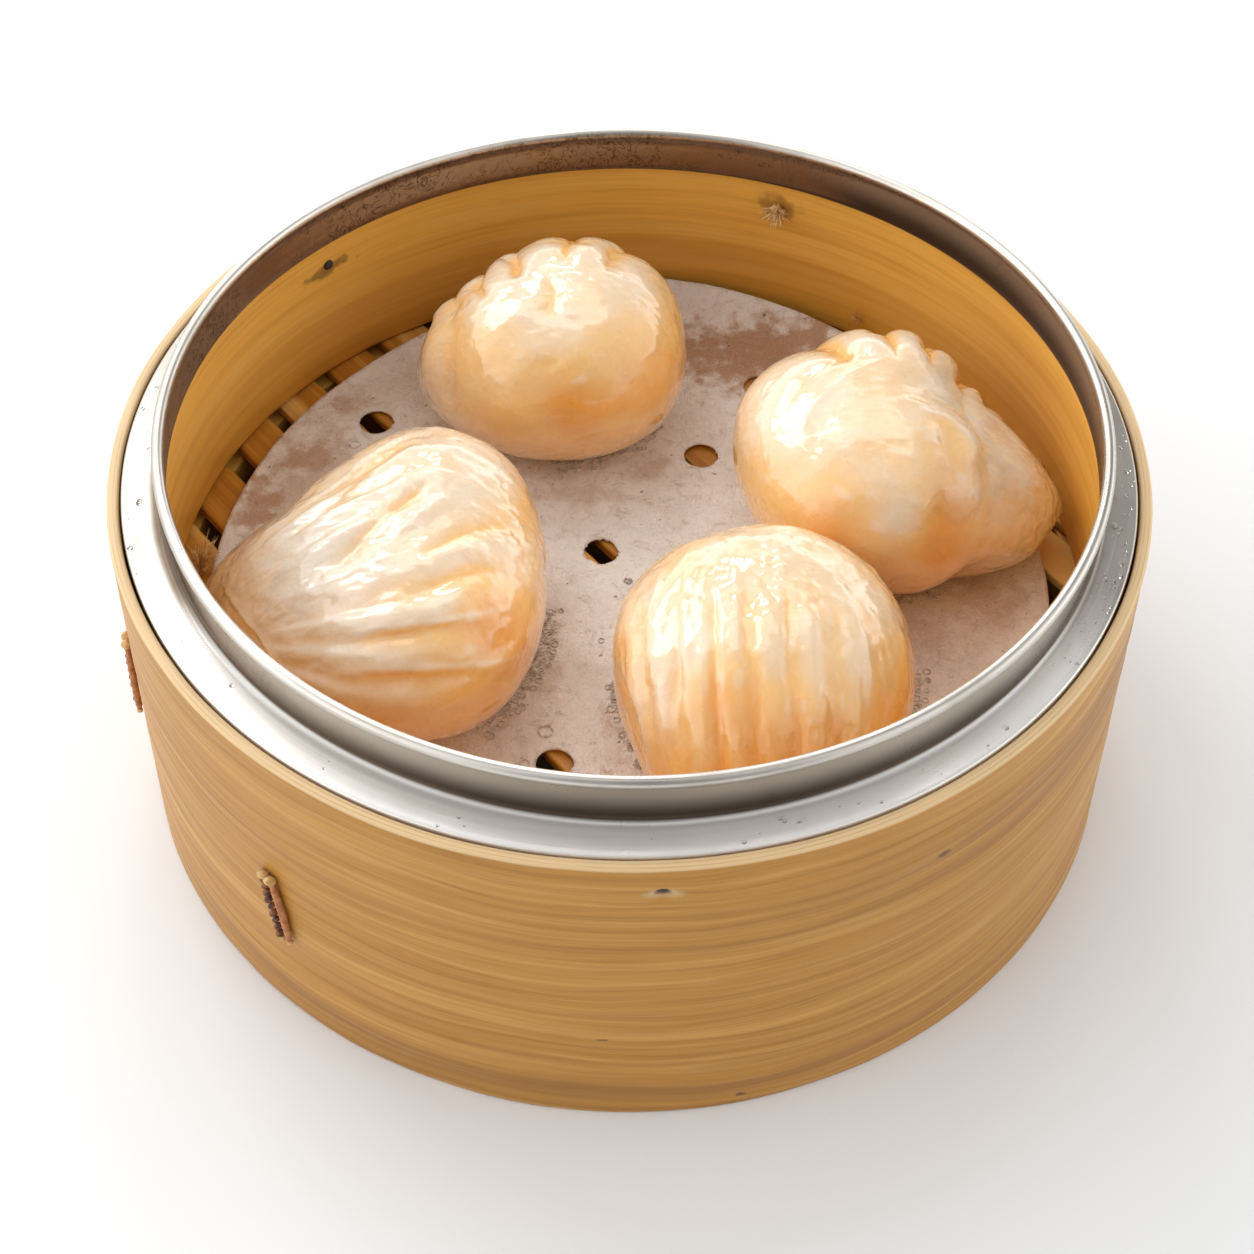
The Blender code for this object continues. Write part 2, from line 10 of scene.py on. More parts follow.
import bpy
import numpy as np
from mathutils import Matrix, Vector


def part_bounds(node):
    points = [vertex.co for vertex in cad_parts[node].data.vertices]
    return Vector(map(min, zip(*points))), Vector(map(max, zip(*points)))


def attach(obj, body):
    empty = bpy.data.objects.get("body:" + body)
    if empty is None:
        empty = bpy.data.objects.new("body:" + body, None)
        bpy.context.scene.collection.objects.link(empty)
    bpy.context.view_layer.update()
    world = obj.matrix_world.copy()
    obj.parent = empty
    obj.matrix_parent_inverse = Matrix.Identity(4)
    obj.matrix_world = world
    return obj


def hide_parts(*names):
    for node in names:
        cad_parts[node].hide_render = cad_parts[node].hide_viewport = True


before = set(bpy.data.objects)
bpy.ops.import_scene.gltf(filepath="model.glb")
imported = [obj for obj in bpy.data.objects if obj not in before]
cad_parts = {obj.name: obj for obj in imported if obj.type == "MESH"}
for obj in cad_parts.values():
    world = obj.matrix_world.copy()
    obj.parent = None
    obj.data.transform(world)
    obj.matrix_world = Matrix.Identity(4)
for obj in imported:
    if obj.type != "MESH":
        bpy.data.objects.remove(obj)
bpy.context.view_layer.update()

bl_info = {
    "name": "Har gow steamer",
    "version": (1, 0, 0),
    "blender": (4, 5, 0),
    "location": "3D View > Sidebar > Har gow",
    "description": "Builds a round bamboo steamer with a steel rim, punched paper and four har gow",
    "category": "Add Mesh",
}

MM = 0.001
GAP = 0.3
FULL_TURN = 2.0 * math.pi

# Camera: place in metres, turns about X, Y and Z in degrees, and lens in millimetres.
CAMERA_PLACE = (0.0, -0.292793, 0.343339)
CAMERA_TURNS = (42.358, -0.348, 0.418)
CAMERA_LENS = 70.72


def part_box(node):
    """Lowest and highest corner of a part of the frame, in millimetres."""
    low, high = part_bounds(node)
    return np.array(low) / MM, np.array(high) / MM


# Walls: the sizes come from the frame, and the strips' thicknesses are the frame's own.
OUTER_RADIUS = part_box("outer_hoop")[1][0]
WALL_HEIGHT = part_box("outer_hoop")[1][2]
OUTER_THICKNESS = 2.1
INNER_THICKNESS = 3.7
INNER_RADIUS = part_box("upper_inner_hoop")[1][0] - INNER_THICKNESS
UPPER_WALL_TOP = part_box("upper_inner_hoop")[1][2]
SLAT_TOP = part_box("slat_06")[1][2]
SLAT_BOTTOM = part_box("slat_06")[0][2]
BEAD_TUBE = 1.0
BEAD_HEIGHT = part_box("steel_rim")[1][2] - BEAD_TUBE
PAPER_LOW = part_box("paper_liner")[0][2]
PAPER_THICKNESS = 0.35
PAPER_TOP = PAPER_LOW + PAPER_THICKNESS
REST_HEIGHT = part_box("dumpling_right")[0][2]

# Steel rim.
BEAD_RADIUS = 76.1
SHEET = 0.6
COLLAR_INSIDE = 75.7
SHOULDER_TOP = 64.9
SHOULDER_FALL = 0.3
SKIRT_LENGTH = 7.0
FILLET = 1.3
RIM_SHIFT = 0.6
RIM_DIP = 1.2

# Floor of slats.
SLAT_TURN = math.radians(-51.0)
SLAT_END_RADIUS = 82.2
SLAT_LEAST_WIDTH = 3.0
SLAT_GAPS = (
    (-62.0, 3.0), (-49.5, 3.2), (-36.2, 4.2), (-24.0, 3.2), (-11.5, 3.4), (0.9, 3.2),
    (13.5, 3.0), (26.0, 4.0), (40.0, 3.4), (56.5, 5.6), (68.5, 2.6),
)

# Paper liner.
PAPER_RADIUS = 72.6
PAPER_FLAT = 66.0
PAPER_RISE = 4.2
PAPER_REACH = 4.2
PAPER_RISE_TURN = math.radians(85.0)
PAPER_RISE_SPREAD = math.radians(38.0)
HOLE_RADIUS = 3.1
# Rows of holes: middle, radius of the row, number of holes and turn of the first in degrees.
HOLE_ROWS = (
    (-4.7, 7.2, 0.0, 1, 0.0),
    (-4.7, 7.2, 30.0, 6, 54.0),
    (-5.9, 9.4, 50.6, 12, 23.5),
)

# Places on the walls: turn and height.
KNOT = (-86.4, 58.5)
NAIL = (134.7, 57.9)
NAIL_SMEAR = (134.7, 57.0)
PEG_STAIN = (69.4, 58.4)

# Small dark scars of the outside wall: turn, height and half sizes.
SCARS = (
    (-56.0, 50.0, (1.6, 1.6, 0.8)),
    (-24.0, 33.0, (1.2, 1.4, 0.9)),
    (-92.5, 21.0, (1.3, 2.0, 0.5)),
    (-77.4, 2.6, (1.2, 1.6, 0.7)),
)

# Dumplings. at, size, roundness, swell, tail and lobes give the frame's own bodies.
# fan: pleats that run from a pole: its turn and slope, creases round it, spread at the pole and
# per degree, depth, and the angles from the pole between which they fade in and out.
# folds: creases in the skin: points of turn and slope, height left and right of the line, how
# far each side reaches and how soft the line is, in millimetres.
# warm, thin: patches of yellow filling and of thin grey skin: turn, slope, spread and strength.
# tone: how warm the whole skin is. streaks: strength of the fine wrinkles along the pleats.
# roughness: share of the fine dimples and puckers.
DUMPLINGS = {
    "dumpling_back_left": {
        "at": (-12.2, 41.5, 50.5),
        "size": (22.6, 21.6, 21.2, 21.8, 16.2, 16.5),
        "roundness": 2.25,
        "swell": ((-0.2, 0.7), (-0.4, -0.5), (0.2, 0.0)),
        "tail": (182.0, -12.0, 4.8, 46.0, 1.0),
        "crest": {
            "creases": (20.0, 36.0, 53.0, 73.0, 103.0, 128.0),
            "band": (98.0, 208.0),
            "depth": 1.1,
        },
        "groove": (34.0, 9.0, 0.0, 120.0, 1.4),
        "folds": (
            (((158, 18), (166, 36), (192, 46)), -0.9, -0.9, 1.3, 1.3, 0.5),
            (((128, 24), (136, 49), (176, 62)), -1.2, -1.2, 1.4, 1.4, 0.5),
            (((90, 22), (82, 41), (66, 54)), -0.6, -0.6, 1.3, 1.3, 0.5),
            (((55, 22), (55, 41), (44, 50)), -0.5, -0.5, 1.3, 1.3, 0.5),
            (((138, 72), (258, 80), (258, 52)), -0.7, -0.7, 2.8, 2.8, 0.5),
            (((200, 66), (222, 60), (236, 46)), 0.4, 0.4, 3.0, 3.0, 0.5),
            (((60, 80), (290, 82), (282, 56)), 0.4, 0.4, 3.4, 3.4, 0.5),
        ),
        "warm": (
            (277, 16, 22, 1.0),
            (321, 16, 20, 0.85),
            (222, 24, 24, 0.35),
            (350, 10, 26, 0.3),
        ),
        "thin": ((200, -6, 22, 0.6), (180, 16, 15, 0.35)),
        "tone": 0.05,
        "streaks": 0.05,
        "roughness": 0.7,
        "seed": 11,
    },
    "dumpling_right": {
        "at": (41.4, 13.2, 50.5),
        "size": (22.4, 23.9, 24.2, 24.4, 16.2, 16.5),
        "roundness": 2.25,
        "swell": ((-1.4, -1.1), (-0.9, -0.4), (-0.1, -0.6)),
        "tail": (-1.0, -17.0, 15.2, 52.0, 1.2),
        "lobes": ((-26.0, -14.0, 1.6, 24.0), (-48.0, -18.0, -1.8, 15.0)),
        "crest": {
            "creases": (26.0, 39.0, 53.0, 74.0, 93.0, 118.0),
            "band": (-40.0, 64.0),
            "depth": 1.9,
        },
        "groove": (70.0, 9.0, 96.0, 186.0, 1.3),
        "folds": (
            (((84, 12), (84, 27), (92, 40)), -0.8, -0.8, 1.2, 1.2, 0.5),
            (((60, 12), (60, 29), (58, 42)), -0.9, -0.9, 1.2, 1.2, 0.5),
            (((39, 4), (38, 20), (30, 34)), -1.0, -1.0, 1.2, 1.2, 0.5),
            (((14, 6), (6, 20), (340, 29), (322, 30), (308, 26)), -0.9, 0.15, 5.0, 5.0, 3.0),
            (((336, 22), (345, 6), (352, -8)), 0.5, 0.5, 2.4, 2.4, 0.5),
            (((322, 20), (330, 4), (342, -14)), -0.5, -0.5, 1.8, 1.8, 0.5),
            (((305, 12), (318, 2), (332, -16)), 0.35, 0.35, 2.4, 2.4, 0.5),
            (((212, 40), (190, 52), (110, 68), (70, 56)), 0.35, 0.35, 1.6, 1.6, 0.5),
            (((200, 30), (172, 44), (120, 54), (96, 44)), -0.3, -0.3, 1.5, 1.5, 0.5),
        ),
        "warm": (
            (247, 16, 16, 0.6),
            (268, 2, 26, 0.35),
            (300, 18, 12, 0.3),
            (215, 4, 26, 0.25),
            (276, 20, 9, -0.25),
        ),
        "thin": ((345, -4, 34, 1.0), (320, -4, 18, 0.5), (345, 18, 20, 0.7)),
        "tone": 0.1,
        "streaks": 0.05,
        "roughness": 0.3,
        "seed": 12,
    },
    "dumpling_front_left": {
        "at": (-34.8, -14.5, 49.5),
        "size": (23.4, 22.4, 27.6, 28.6, 15.6, 15.5),
        "roundness": 2.2,
        "swell": ((-1.6, -0.1), (-1.1, -0.1), (0.9, 0.0)),
        "tail": (159.0, -23.0, 17.5, 60.0, 1.6),
        "lobes": ((208.0, -24.0, 9.5, 34.0), (169.0, -17.0, 2.4, 8.0), (154.0, 8.0, -1.9, 14.0)),
        "fan": {
            "pole": (188.0, -20.0),
            "middle": 55.0,
            "creases": (-58.0, -43.0, -29.0, -16.0, 13.0, 43.0, 66.0, 88.0),
            "spread": (0.40, 0.006),
            "depth": 0.28,
            "fade_in": (26.0, 56.0),
            "fade_out": (90.0, 150.0),
        },
        "folds": (
            (((188, 18), (174, 35), (120, 42), (85, 33)), -0.6, -0.6, 1.7, 1.7, 0.5),
            (((222, 36), (215, 50), (127, 80), (64, 56)), -0.9, -0.9, 1.9, 1.9, 0.5),
            (((226, 42), (246, 62), (20, 80), (40, 48)), 0.5, 0.5, 2.2, 2.2, 0.5),
            (((258, 50), (300, 55), (342, 42)), 0.4, 0.4, 2.2, 2.2, 0.5),
            (((262, 50), (300, 60), (351, 52), (14, 29)), -0.8, -0.8, 1.8, 1.8, 0.5),
            (((262, 36), (284, 41), (304, 43), (336, 32)), -0.8, -0.8, 1.5, 1.5, 0.5),
            (((258, 30), (284, 35), (306, 36), (330, 26)), 0.5, 0.5, 1.8, 1.8, 0.5),
            (((240, 16), (262, 27), (285, 29), (326, 18)), 0.3, -0.7, 2.6, 4.0, 0.9),
            (((244, 6), (262, 16), (288, 15), (318, 3)), 0.25, -0.65, 2.4, 4.0, 0.9),
            (((166, -10), (197, 2), (217, 2), (240, -2)), 0.55, -0.3, 0.6, 1.4, 0.3),
        ),
        "warm": (
            (308, 22, 16, 0.9),
            (318, 0, 22, 0.35),
            (20, 20, 22, 0.4),
        ),
        "thin": (
            (212, 8, 26, 1.0),
            (176, -2, 34, 1.0),
            (238, 0, 18, 0.8),
            (190, 28, 40, 0.85),
            (250, -4, 20, 0.5),
        ),
        "tone": 0.0,
        "streaks": 0.1,
        "roughness": 1.0,
        "seed": 13,
    },
    "dumpling_front_right": {
        "at": (21.6, -32.4, 50.2),
        "size": (24.6, 24.9, 22.4, 25.2, 16.2, 16.2),
        "roundness": 2.3,
        "swell": ((-1.1, 0.0), (0.0, -0.3), (0.2, -0.3)),
        "tail": (-88.0, -22.0, 12.0, 62.0, 1.4),
        "upright": {
            "pole": (-88.0, -20.0),
            "creases": (-17.5, -10.2, -3.4, 2.9, 9.0, 14.6, 19.5, 23.5),
            "depth": 0.2,
            "fade_out": (80.0, 122.0),
        },
        "folds": (
            (((192, 46), (222, 30), (236, 12), (240, -14)), -0.3, 0.2, 2.6, 2.6, 1.3),
            (((160, 60), (225, 48), (246, 28), (254, 6), (256, -14)), -0.55, 0.35, 3.0, 3.4, 1.3),
            (((118, 72), (218, 70), (254, 46), (263, 18), (264, -14)), -0.26, 0.25, 2.4, 3.2, 1.4),
            (((75, 66), (330, 80), (278, 48), (276, 18), (275, -14)), -0.3, 0.2, 2.6, 3.0, 1.4),
            (((55, 58), (330, 62), (299, 44), (290, 16), (288, -14)), -0.22, 0.2, 2.6, 3.0, 1.4),
            (((40, 44), (356, 46), (323, 30), (309, 8), (305, -14)), -0.24, 0.15, 2.4, 2.6, 1.4),
            (((28, 30), (2, 24), (336, 10), (324, -10)), -0.18, 0.15, 2.4, 2.4, 1.3),
            (((192, 12), (205, 13), (216, 12), (228, 2)), 0.3, -0.45, 1.6, 3.2, 0.5),
        ),
        "warm": (
            (243, 30, 10, 0.6),
            (258, 30, 15, 0.5),
            (268, 14, 16, 0.6),
            (290, 18, 17, 0.5),
            (200, 2, 18, 0.5),
            (330, 8, 22, 0.35),
        ),
        "thin": ((200, -4, 14, 0.35),),
        "tone": 0.14,
        "streaks": 0.08,
        "roughness": 1.0,
        "seed": 14,
    },
}
DUMPLING_ROWS = 230
DUMPLING_COLUMNS = 300
# A dumpling's rows start this many degrees from its pole.
POLE_HOLE = 0.8
# Degrees over which a crest's band of pleats fades out.
BAND_END = 24.0
# Heights in millimetres of the skin's own unevenness, and how softly the foot is laid flat.
STREAK_HEIGHT = 3.4
DIMPLE_HEIGHT = 0.2
PUCKER_HEIGHT = 0.16
LUMP_HEIGHT = 0.45
CRINKLE_HEIGHT = 0.27
FLOOR_SOFTNESS = 0.8


def smooth_step(value, low, high):
    """0 below low, 1 above high, and 3s^2 - 2s^3 between them."""
    share = np.clip((value - low) / (high - low), 0.0, 1.0)
    return share * share * (3.0 - 2.0 * share)


def soft_noise(points, size, seed):
    """Smooth random heights from -1 to 1.

    Random values stand on a cubic lattice whose cells have the given size. A point's height is
    the mean of its cell's eight corners, each weighted by 3s^2 - 2s^3 of its nearness.
    """
    table = np.random.default_rng(seed).uniform(-1.0, 1.0, (32, 32, 32))
    where = np.asarray(points, float) / size
    cell = np.floor(where).astype(int)
    share = smooth_step(where - cell, 0.0, 1.0)
    total = np.zeros(where.shape[:-1])
    for corner in np.ndindex(2, 2, 2):
        pick = (cell + corner) % 32
        near = np.where(np.array(corner) == 1, share, 1.0 - share)
        total += near.prod(axis=-1) * table[pick[..., 0], pick[..., 1], pick[..., 2]]
    return total


def layered_noise(points, size, seed, layers=3):
    """Soft noise with finer and fainter layers: each has half the size and half the height."""
    total = np.zeros(np.shape(points)[:-1])
    for layer in range(layers):
        total += soft_noise(points, size / 2**layer, seed + layer) / 2**layer
    return total / 1.5


def grid_faces(rows, columns, wrap_rows=False, wrap_columns=False):
    """Corner numbers of the quads between neighbouring points of a grid."""
    row = np.arange(rows if wrap_rows else rows - 1)[:, None]
    column = np.arange(columns if wrap_columns else columns - 1)[None, :]
    next_row = (row + 1) % rows
    next_column = (column + 1) % columns
    corners = (
        row * columns + column,
        row * columns + next_column,
        next_row * columns + next_column,
        next_row * columns + column,
    )
    return np.stack(np.broadcast_arrays(*corners), axis=-1).reshape(-1, 4)


def closed_tube(grid):
    """Points and faces of rings of points, each joined to the next and a middle point at each end."""
    rows, columns = grid.shape[:2]
    points = np.vstack([grid.reshape(-1, 3), grid[0].mean(axis=0), grid[-1].mean(axis=0)])
    ring = np.arange(columns)
    following = (ring + 1) % columns
    first = np.full(columns, rows * columns)
    last = (rows - 1) * columns
    start_cap = np.stack([first, following, ring], axis=-1)
    end_cap = np.stack([first + 1, last + ring, last + following], axis=-1)
    return points, [grid_faces(rows, columns, wrap_columns=True), start_cap, end_cap]


def joined(parts):
    """Several (points, faces) as one."""
    points = []
    faces = []
    start = 0
    for part_points, part_faces in parts:
        points.append(part_points)
        faces += [group + start for group in part_faces]
        start += len(part_points)
    return np.vstack(points), faces


def enclosed_volume(points, faces):
    """Volume inside the faces, negative where they point inwards: a sixth of the triple products."""
    total = 0.0
    for group in faces:
        for second in range(1, group.shape[1] - 1):
            a = points[group[:, 0]]
            b = points[group[:, second]]
            c = points[group[:, second + 1]]
            total += np.einsum("ij,ij->i", a, np.cross(b, c)).sum()
    return total / 6.0


def add_piece(name, points, faces, material, nodes=(), slot=None, values=None, closed=True):
    """A smooth mesh piece at the origin, from points in millimetres and lists of corner numbers.

    It rides on the steamer, stands for the named nodes, and carries any values as attributes.
    """
    points = np.asarray(points, float)
    if closed and enclosed_volume(points, faces) < 0.0:
        faces = [group[:, ::-1] for group in faces]
    corners = np.concatenate([group.ravel() for group in faces]).astype(np.int32)
    sizes = np.concatenate([np.full(len(group), group.shape[1]) for group in faces])
    starts = np.concatenate([[0], np.cumsum(sizes)[:-1]]).astype(np.int32)
    mesh = bpy.data.meshes.new(name)
    mesh.vertices.add(len(points))
    mesh.vertices.foreach_set("co", (points * MM).astype(np.float32).ravel())
    mesh.loops.add(len(corners))
    mesh.loops.foreach_set("vertex_index", corners)
    mesh.polygons.add(len(sizes))
    mesh.polygons.foreach_set("loop_start", starts)
    mesh.update(calc_edges=True)
    mesh.shade_smooth()
    for key, value in (values or {}).items():
        attribute = mesh.attributes.new(key, "FLOAT", "POINT")
        attribute.data.foreach_set("value", np.asarray(value, np.float32).ravel())
    mesh.materials.append(material)
    piece = bpy.data.objects.new(name, mesh)
    bpy.context.scene.collection.objects.link(piece)
    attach(piece, "root")
    if nodes:
        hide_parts(*nodes)
    return piece


# Shader helpers.


def add_node(tree, kind, inputs=None, **settings):
    """A shader node with its settings. Each named input takes a value or another node's output."""
    node = tree.nodes.new(kind)
    for key, value in settings.items():
        setattr(node, key, value)
    for key, value in (inputs or {}).items():
        if isinstance(value, bpy.types.NodeSocket):
            tree.links.new(value, node.inputs[key])
        else:
            node.inputs[key].default_value = value
    return node


def opaque(colour):
    """A plain colour with full alpha; a node's output stays as it is."""
    return colour if isinstance(colour, bpy.types.NodeSocket) else (*colour[:3], 1.0)


def blended(tree, share, first, second):
    """A colour between two, by a share from 0 to 1."""
    colours = {0: share, 6: opaque(first), 7: opaque(second)}
    return add_node(tree, "ShaderNodeMix", colours, data_type="RGBA").outputs[2]


def worked(tree, operation, first, second=0.0):
    """The result of one step of arithmetic on two values."""
    return add_node(tree, "ShaderNodeMath", {0: first, 1: second}, operation=operation).outputs[0]


def times(tree, first, second):
    """The product of two values."""
    return worked(tree, "MULTIPLY", first, second)


def ranged(tree, value, low, high, start=0.0, end=1.0):
    """A value carried from low..high to start..end with an S-shaped rise."""
    inputs = {"Value": value, "From Min": low, "From Max": high, "To Min": start, "To Max": end}
    return add_node(tree, "ShaderNodeMapRange", inputs, interpolation_type="SMOOTHSTEP").outputs[0]


def noise(tree, vector, scale, detail=3.0, roughness=0.5, distortion=0.0):
    """Noise from 0 to 1, in cells of 1/scale metres."""
    inputs = {
        "Vector": vector,
        "Scale": scale,
        "Detail": detail,
        "Roughness": roughness,
        "Distortion": distortion,
    }
    return add_node(tree, "ShaderNodeTexNoise", inputs).outputs[0]


def object_place(tree, turn=0.0, scale=(1.0, 1.0, 1.0)):
    """Object coordinates, turned about Z and then stretched."""
    place = add_node(tree, "ShaderNodeTexCoord").outputs["Object"]
    if turn == 0.0 and scale == (1.0, 1.0, 1.0):
        return place
    turned = add_node(tree, "ShaderNodeMapping", {"Vector": place, "Rotation": (0.0, 0.0, -turn)})
    stretched = {"Vector": turned.outputs[0], "Scale": scale}
    return add_node(tree, "ShaderNodeMapping", stretched).outputs[0]


def new_group(name, inputs, outputs):
    """An empty node group with named sockets, with its input and output nodes."""
    group = bpy.data.node_groups.new(name, "ShaderNodeTree")
    for label, kind, value in inputs:
        socket = group.interface.new_socket(name=label, in_out="INPUT", socket_type=kind)
        if value is not None:
            socket.default_value = value
    for label, kind in outputs:
        group.interface.new_socket(name=label, in_out="OUTPUT", socket_type=kind)
    return group, group.nodes.new("NodeGroupInput"), group.nodes.new("NodeGroupOutput")


def placed_group(tree, group, inputs):
    """A node group placed in a material with its own values."""
    node = tree.nodes.new("ShaderNodeGroup")
    node.node_tree = group
    for key, value in inputs.items():
        if isinstance(value, bpy.types.NodeSocket):
            tree.links.new(value, node.inputs[key])
        else:
            node.inputs[key].default_value = value
    return node


def grain_group():
    """Bamboo grain: broad bands and fine fibres in three colours, from coordinates stretched along it."""
    name = "Bamboo grain"
    if name in bpy.data.node_groups:
        return bpy.data.node_groups[name]
    inputs = [
        ("Place", "NodeSocketVector", None),
        ("Dark", "NodeSocketColor", (0.3, 0.15, 0.05, 1.0)),
        ("Middle", "NodeSocketColor", (0.55, 0.31, 0.1, 1.0)),
        ("Pale", "NodeSocketColor", (0.7, 0.45, 0.2, 1.0)),
        ("Bands", "NodeSocketFloat", 1.0),
    ]
    outputs = [
        ("Colour", "NodeSocketColor"),
        ("Roughness", "NodeSocketFloat"),
        ("Height", "NodeSocketFloat"),
    ]
    group, start, end = new_group(name, inputs, outputs)
    place = start.outputs["Place"]
    broad = noise(group, place, 0.22, 3.0, 0.55, 0.35)
    fine = noise(group, place, 1.1, 3.0, 0.65)
    hair = noise(group, place, 4.5, 1.0, 0.6)
    dark_share = times(group, ranged(group, broad, 0.5, 0.3), start.outputs["Bands"])
    pale_share = times(group, ranged(group, broad, 0.52, 0.72), start.outputs["Bands"])
    colour = blended(group, dark_share, start.outputs["Middle"], start.outputs["Dark"])
    colour = blended(group, pale_share, colour, start.outputs["Pale"])
    fine_dark = times(group, ranged(group, fine, 0.52, 0.3), 0.55)
    colour = blended(group, fine_dark, colour, start.outputs["Dark"])
    fine_pale = times(group, ranged(group, fine, 0.52, 0.74), 0.45)
    colour = blended(group, fine_pale, colour, start.outputs["Pale"])
    hair_share = times(group, ranged(group, hair, 0.52, 0.3), 0.22)
    colour = blended(group, hair_share, colour, start.outputs["Dark"])
    height = worked(group, "ADD", times(group, fine, 0.6), times(group, hair, 0.4))
    group.links.new(colour, end.inputs["Colour"])
    group.links.new(ranged(group, fine, 0.3, 0.7, 0.6, 0.42), end.inputs["Roughness"])
    group.links.new(height, end.inputs["Height"])
    return group


def spot_group():
    """A soft-edged spot: 1 at its centre, 0 past its reach, with an edge broken up by noise."""
    name = "Soft spot"
    if name in bpy.data.node_groups:
        return bpy.data.node_groups[name]
    inputs = [
        ("Place", "NodeSocketVector", None),
        ("Centre", "NodeSocketVector", (0.0, 0.0, 0.0)),
        ("Reach", "NodeSocketVector", (0.01, 0.01, 0.01)),
        ("Edge", "NodeSocketFloat", 0.5),
        ("Broken", "NodeSocketFloat", 0.4),
    ]
    group, start, end = new_group(name, inputs, [("Mask", "NodeSocketFloat")])
    place = start.outputs["Place"]
    away = {0: place, 1: start.outputs["Centre"]}
    away = add_node(group, "ShaderNodeVectorMath", away, operation="SUBTRACT").outputs[0]
    scaled = {0: away, 1: start.outputs["Reach"]}
    scaled = add_node(group, "ShaderNodeVectorMath", scaled, operation="DIVIDE").outputs[0]
    length = add_node(group, "ShaderNodeVectorMath", {0: scaled}, operation="LENGTH").outputs["Value"]
    rough = worked(group, "SUBTRACT", start.outputs["Edge"], 0.5)
    rough = times(group, rough, start.outputs["Broken"])
    edge = worked(group, "ADD", length, times(group, rough, 4.0))
    group.links.new(ranged(group, edge, 1.0, 0.35), end.inputs["Mask"])
    return group


def spot(tree, place, edge, centre, reach, broken):
    """The mask of one soft spot, placed and sized in millimetres; the noise edge breaks up its outline."""
    inputs = {
        "Place": place,
        "Centre": tuple(np.array(centre) * MM),
        "Reach": tuple(np.array(reach) * MM),
        "Edge": edge,
        "Broken": broken,
    }
    return placed_group(tree, spot_group(), inputs).outputs["Mask"]


def round_place(place, radius):
    """The point at a turn in degrees and a height, at a distance from the axis."""
    turn, height = place
    angle = math.radians(turn)
    return (radius * math.cos(angle), radius * math.sin(angle), height)


def new_material(name):
    """A material with its node tree and its Principled shader."""
    material = bpy.data.materials.new(name)
    material.use_nodes = True
    tree = material.node_tree
    return material, tree, tree.nodes["Principled BSDF"]


def bumped(tree, height, strength, distance):
    """A normal raised by a height, over a distance in metres."""
    inputs = {"Height": height, "Strength": strength, "Distance": distance}
    return add_node(tree, "ShaderNodeBump", inputs).outputs[0]


def bamboo_wall_material(settings):
    """Outside wall: grain round the hoop, a cream cut rim with dark lamination lines, and worn marks."""
    material, tree, shader = new_material("Outside bamboo")
    place = object_place(tree)
    stretched = object_place(tree, scale=(14.0, 14.0, 620.0))
    wave = noise(tree, object_place(tree, scale=(16.0, 16.0, 60.0)), 1.0, 2.0)
    lift = add_node(tree, "ShaderNodeCombineXYZ", {2: times(tree, wave, 4.0)}).outputs[0]
    stretched = add_node(tree, "ShaderNodeVectorMath", {0: stretched, 1: lift}, operation="ADD").outputs[0]
    grain = {
        "Place": stretched,
        "Dark": opaque(settings.dark),
        "Middle": opaque(settings.middle),
        "Pale": opaque(settings.pale),
        "Bands": 0.8,
    }
    grain = placed_group(tree, grain_group(), grain)
    colour = grain.outputs["Colour"]
    parts = add_node(tree, "ShaderNodeSeparateXYZ", {0: place})
    level = {0: parts.outputs[0], 1: parts.outputs[1], 2: 0.0}
    level = add_node(tree, "ShaderNodeCombineXYZ", level).outputs[0]
    radius = add_node(tree, "ShaderNodeVectorMath", {0: level}, operation="LENGTH").outputs["Value"]
    on_rim = ranged(tree, parts.outputs[2], (WALL_HEIGHT - 0.75) * MM, (WALL_HEIGHT - 0.3) * MM)
    line = worked(tree, "SINE", times(tree, radius, FULL_TURN / (0.72 * MM)))
    broken = ranged(tree, noise(tree, place, 60.0, 3.0), 0.35, 0.65, 0.1, 0.45)
    line = times(tree, ranged(tree, line, 0.4, 0.95), broken)
    rim_colour = blended(tree, line, (0.80, 0.56, 0.29), (0.42, 0.23, 0.09))
    colour = blended(tree, on_rim, colour, rim_colour)
    knot = round_place(KNOT, OUTER_RADIUS)
    edge = noise(tree, place, 550.0, 3.0, 0.6)
    pale_knot = spot(tree, place, edge, knot, (3.6, 3.0, 1.5), 0.15)
    colour = blended(tree, pale_knot, colour, (0.62, 0.42, 0.2))
    dark_knot = spot(tree, place, edge, knot, (1.7, 3.0, 0.95), 0.1)
    colour = blended(tree, dark_knot, colour, (0.03, 0.015, 0.008))
    for turn, height, reach in SCARS:
        mask = spot(tree, place, edge, round_place((turn, height), OUTER_RADIUS), reach, 0.5)
        colour = blended(tree, mask, colour, (0.16, 0.06, 0.02))
    tree.links.new(colour, shader.inputs["Base Color"])
    tree.links.new(grain.outputs["Roughness"], shader.inputs["Roughness"])
    tree.links.new(bumped(tree, grain.outputs["Height"], 0.5, 0.0004), shader.inputs["Normal"])
    shader.inputs["Specular IOR Level"].default_value = 0.5
    shader.inputs["Coat Weight"].default_value = 0.2
    shader.inputs["Coat Roughness"].default_value = 0.35
    return material


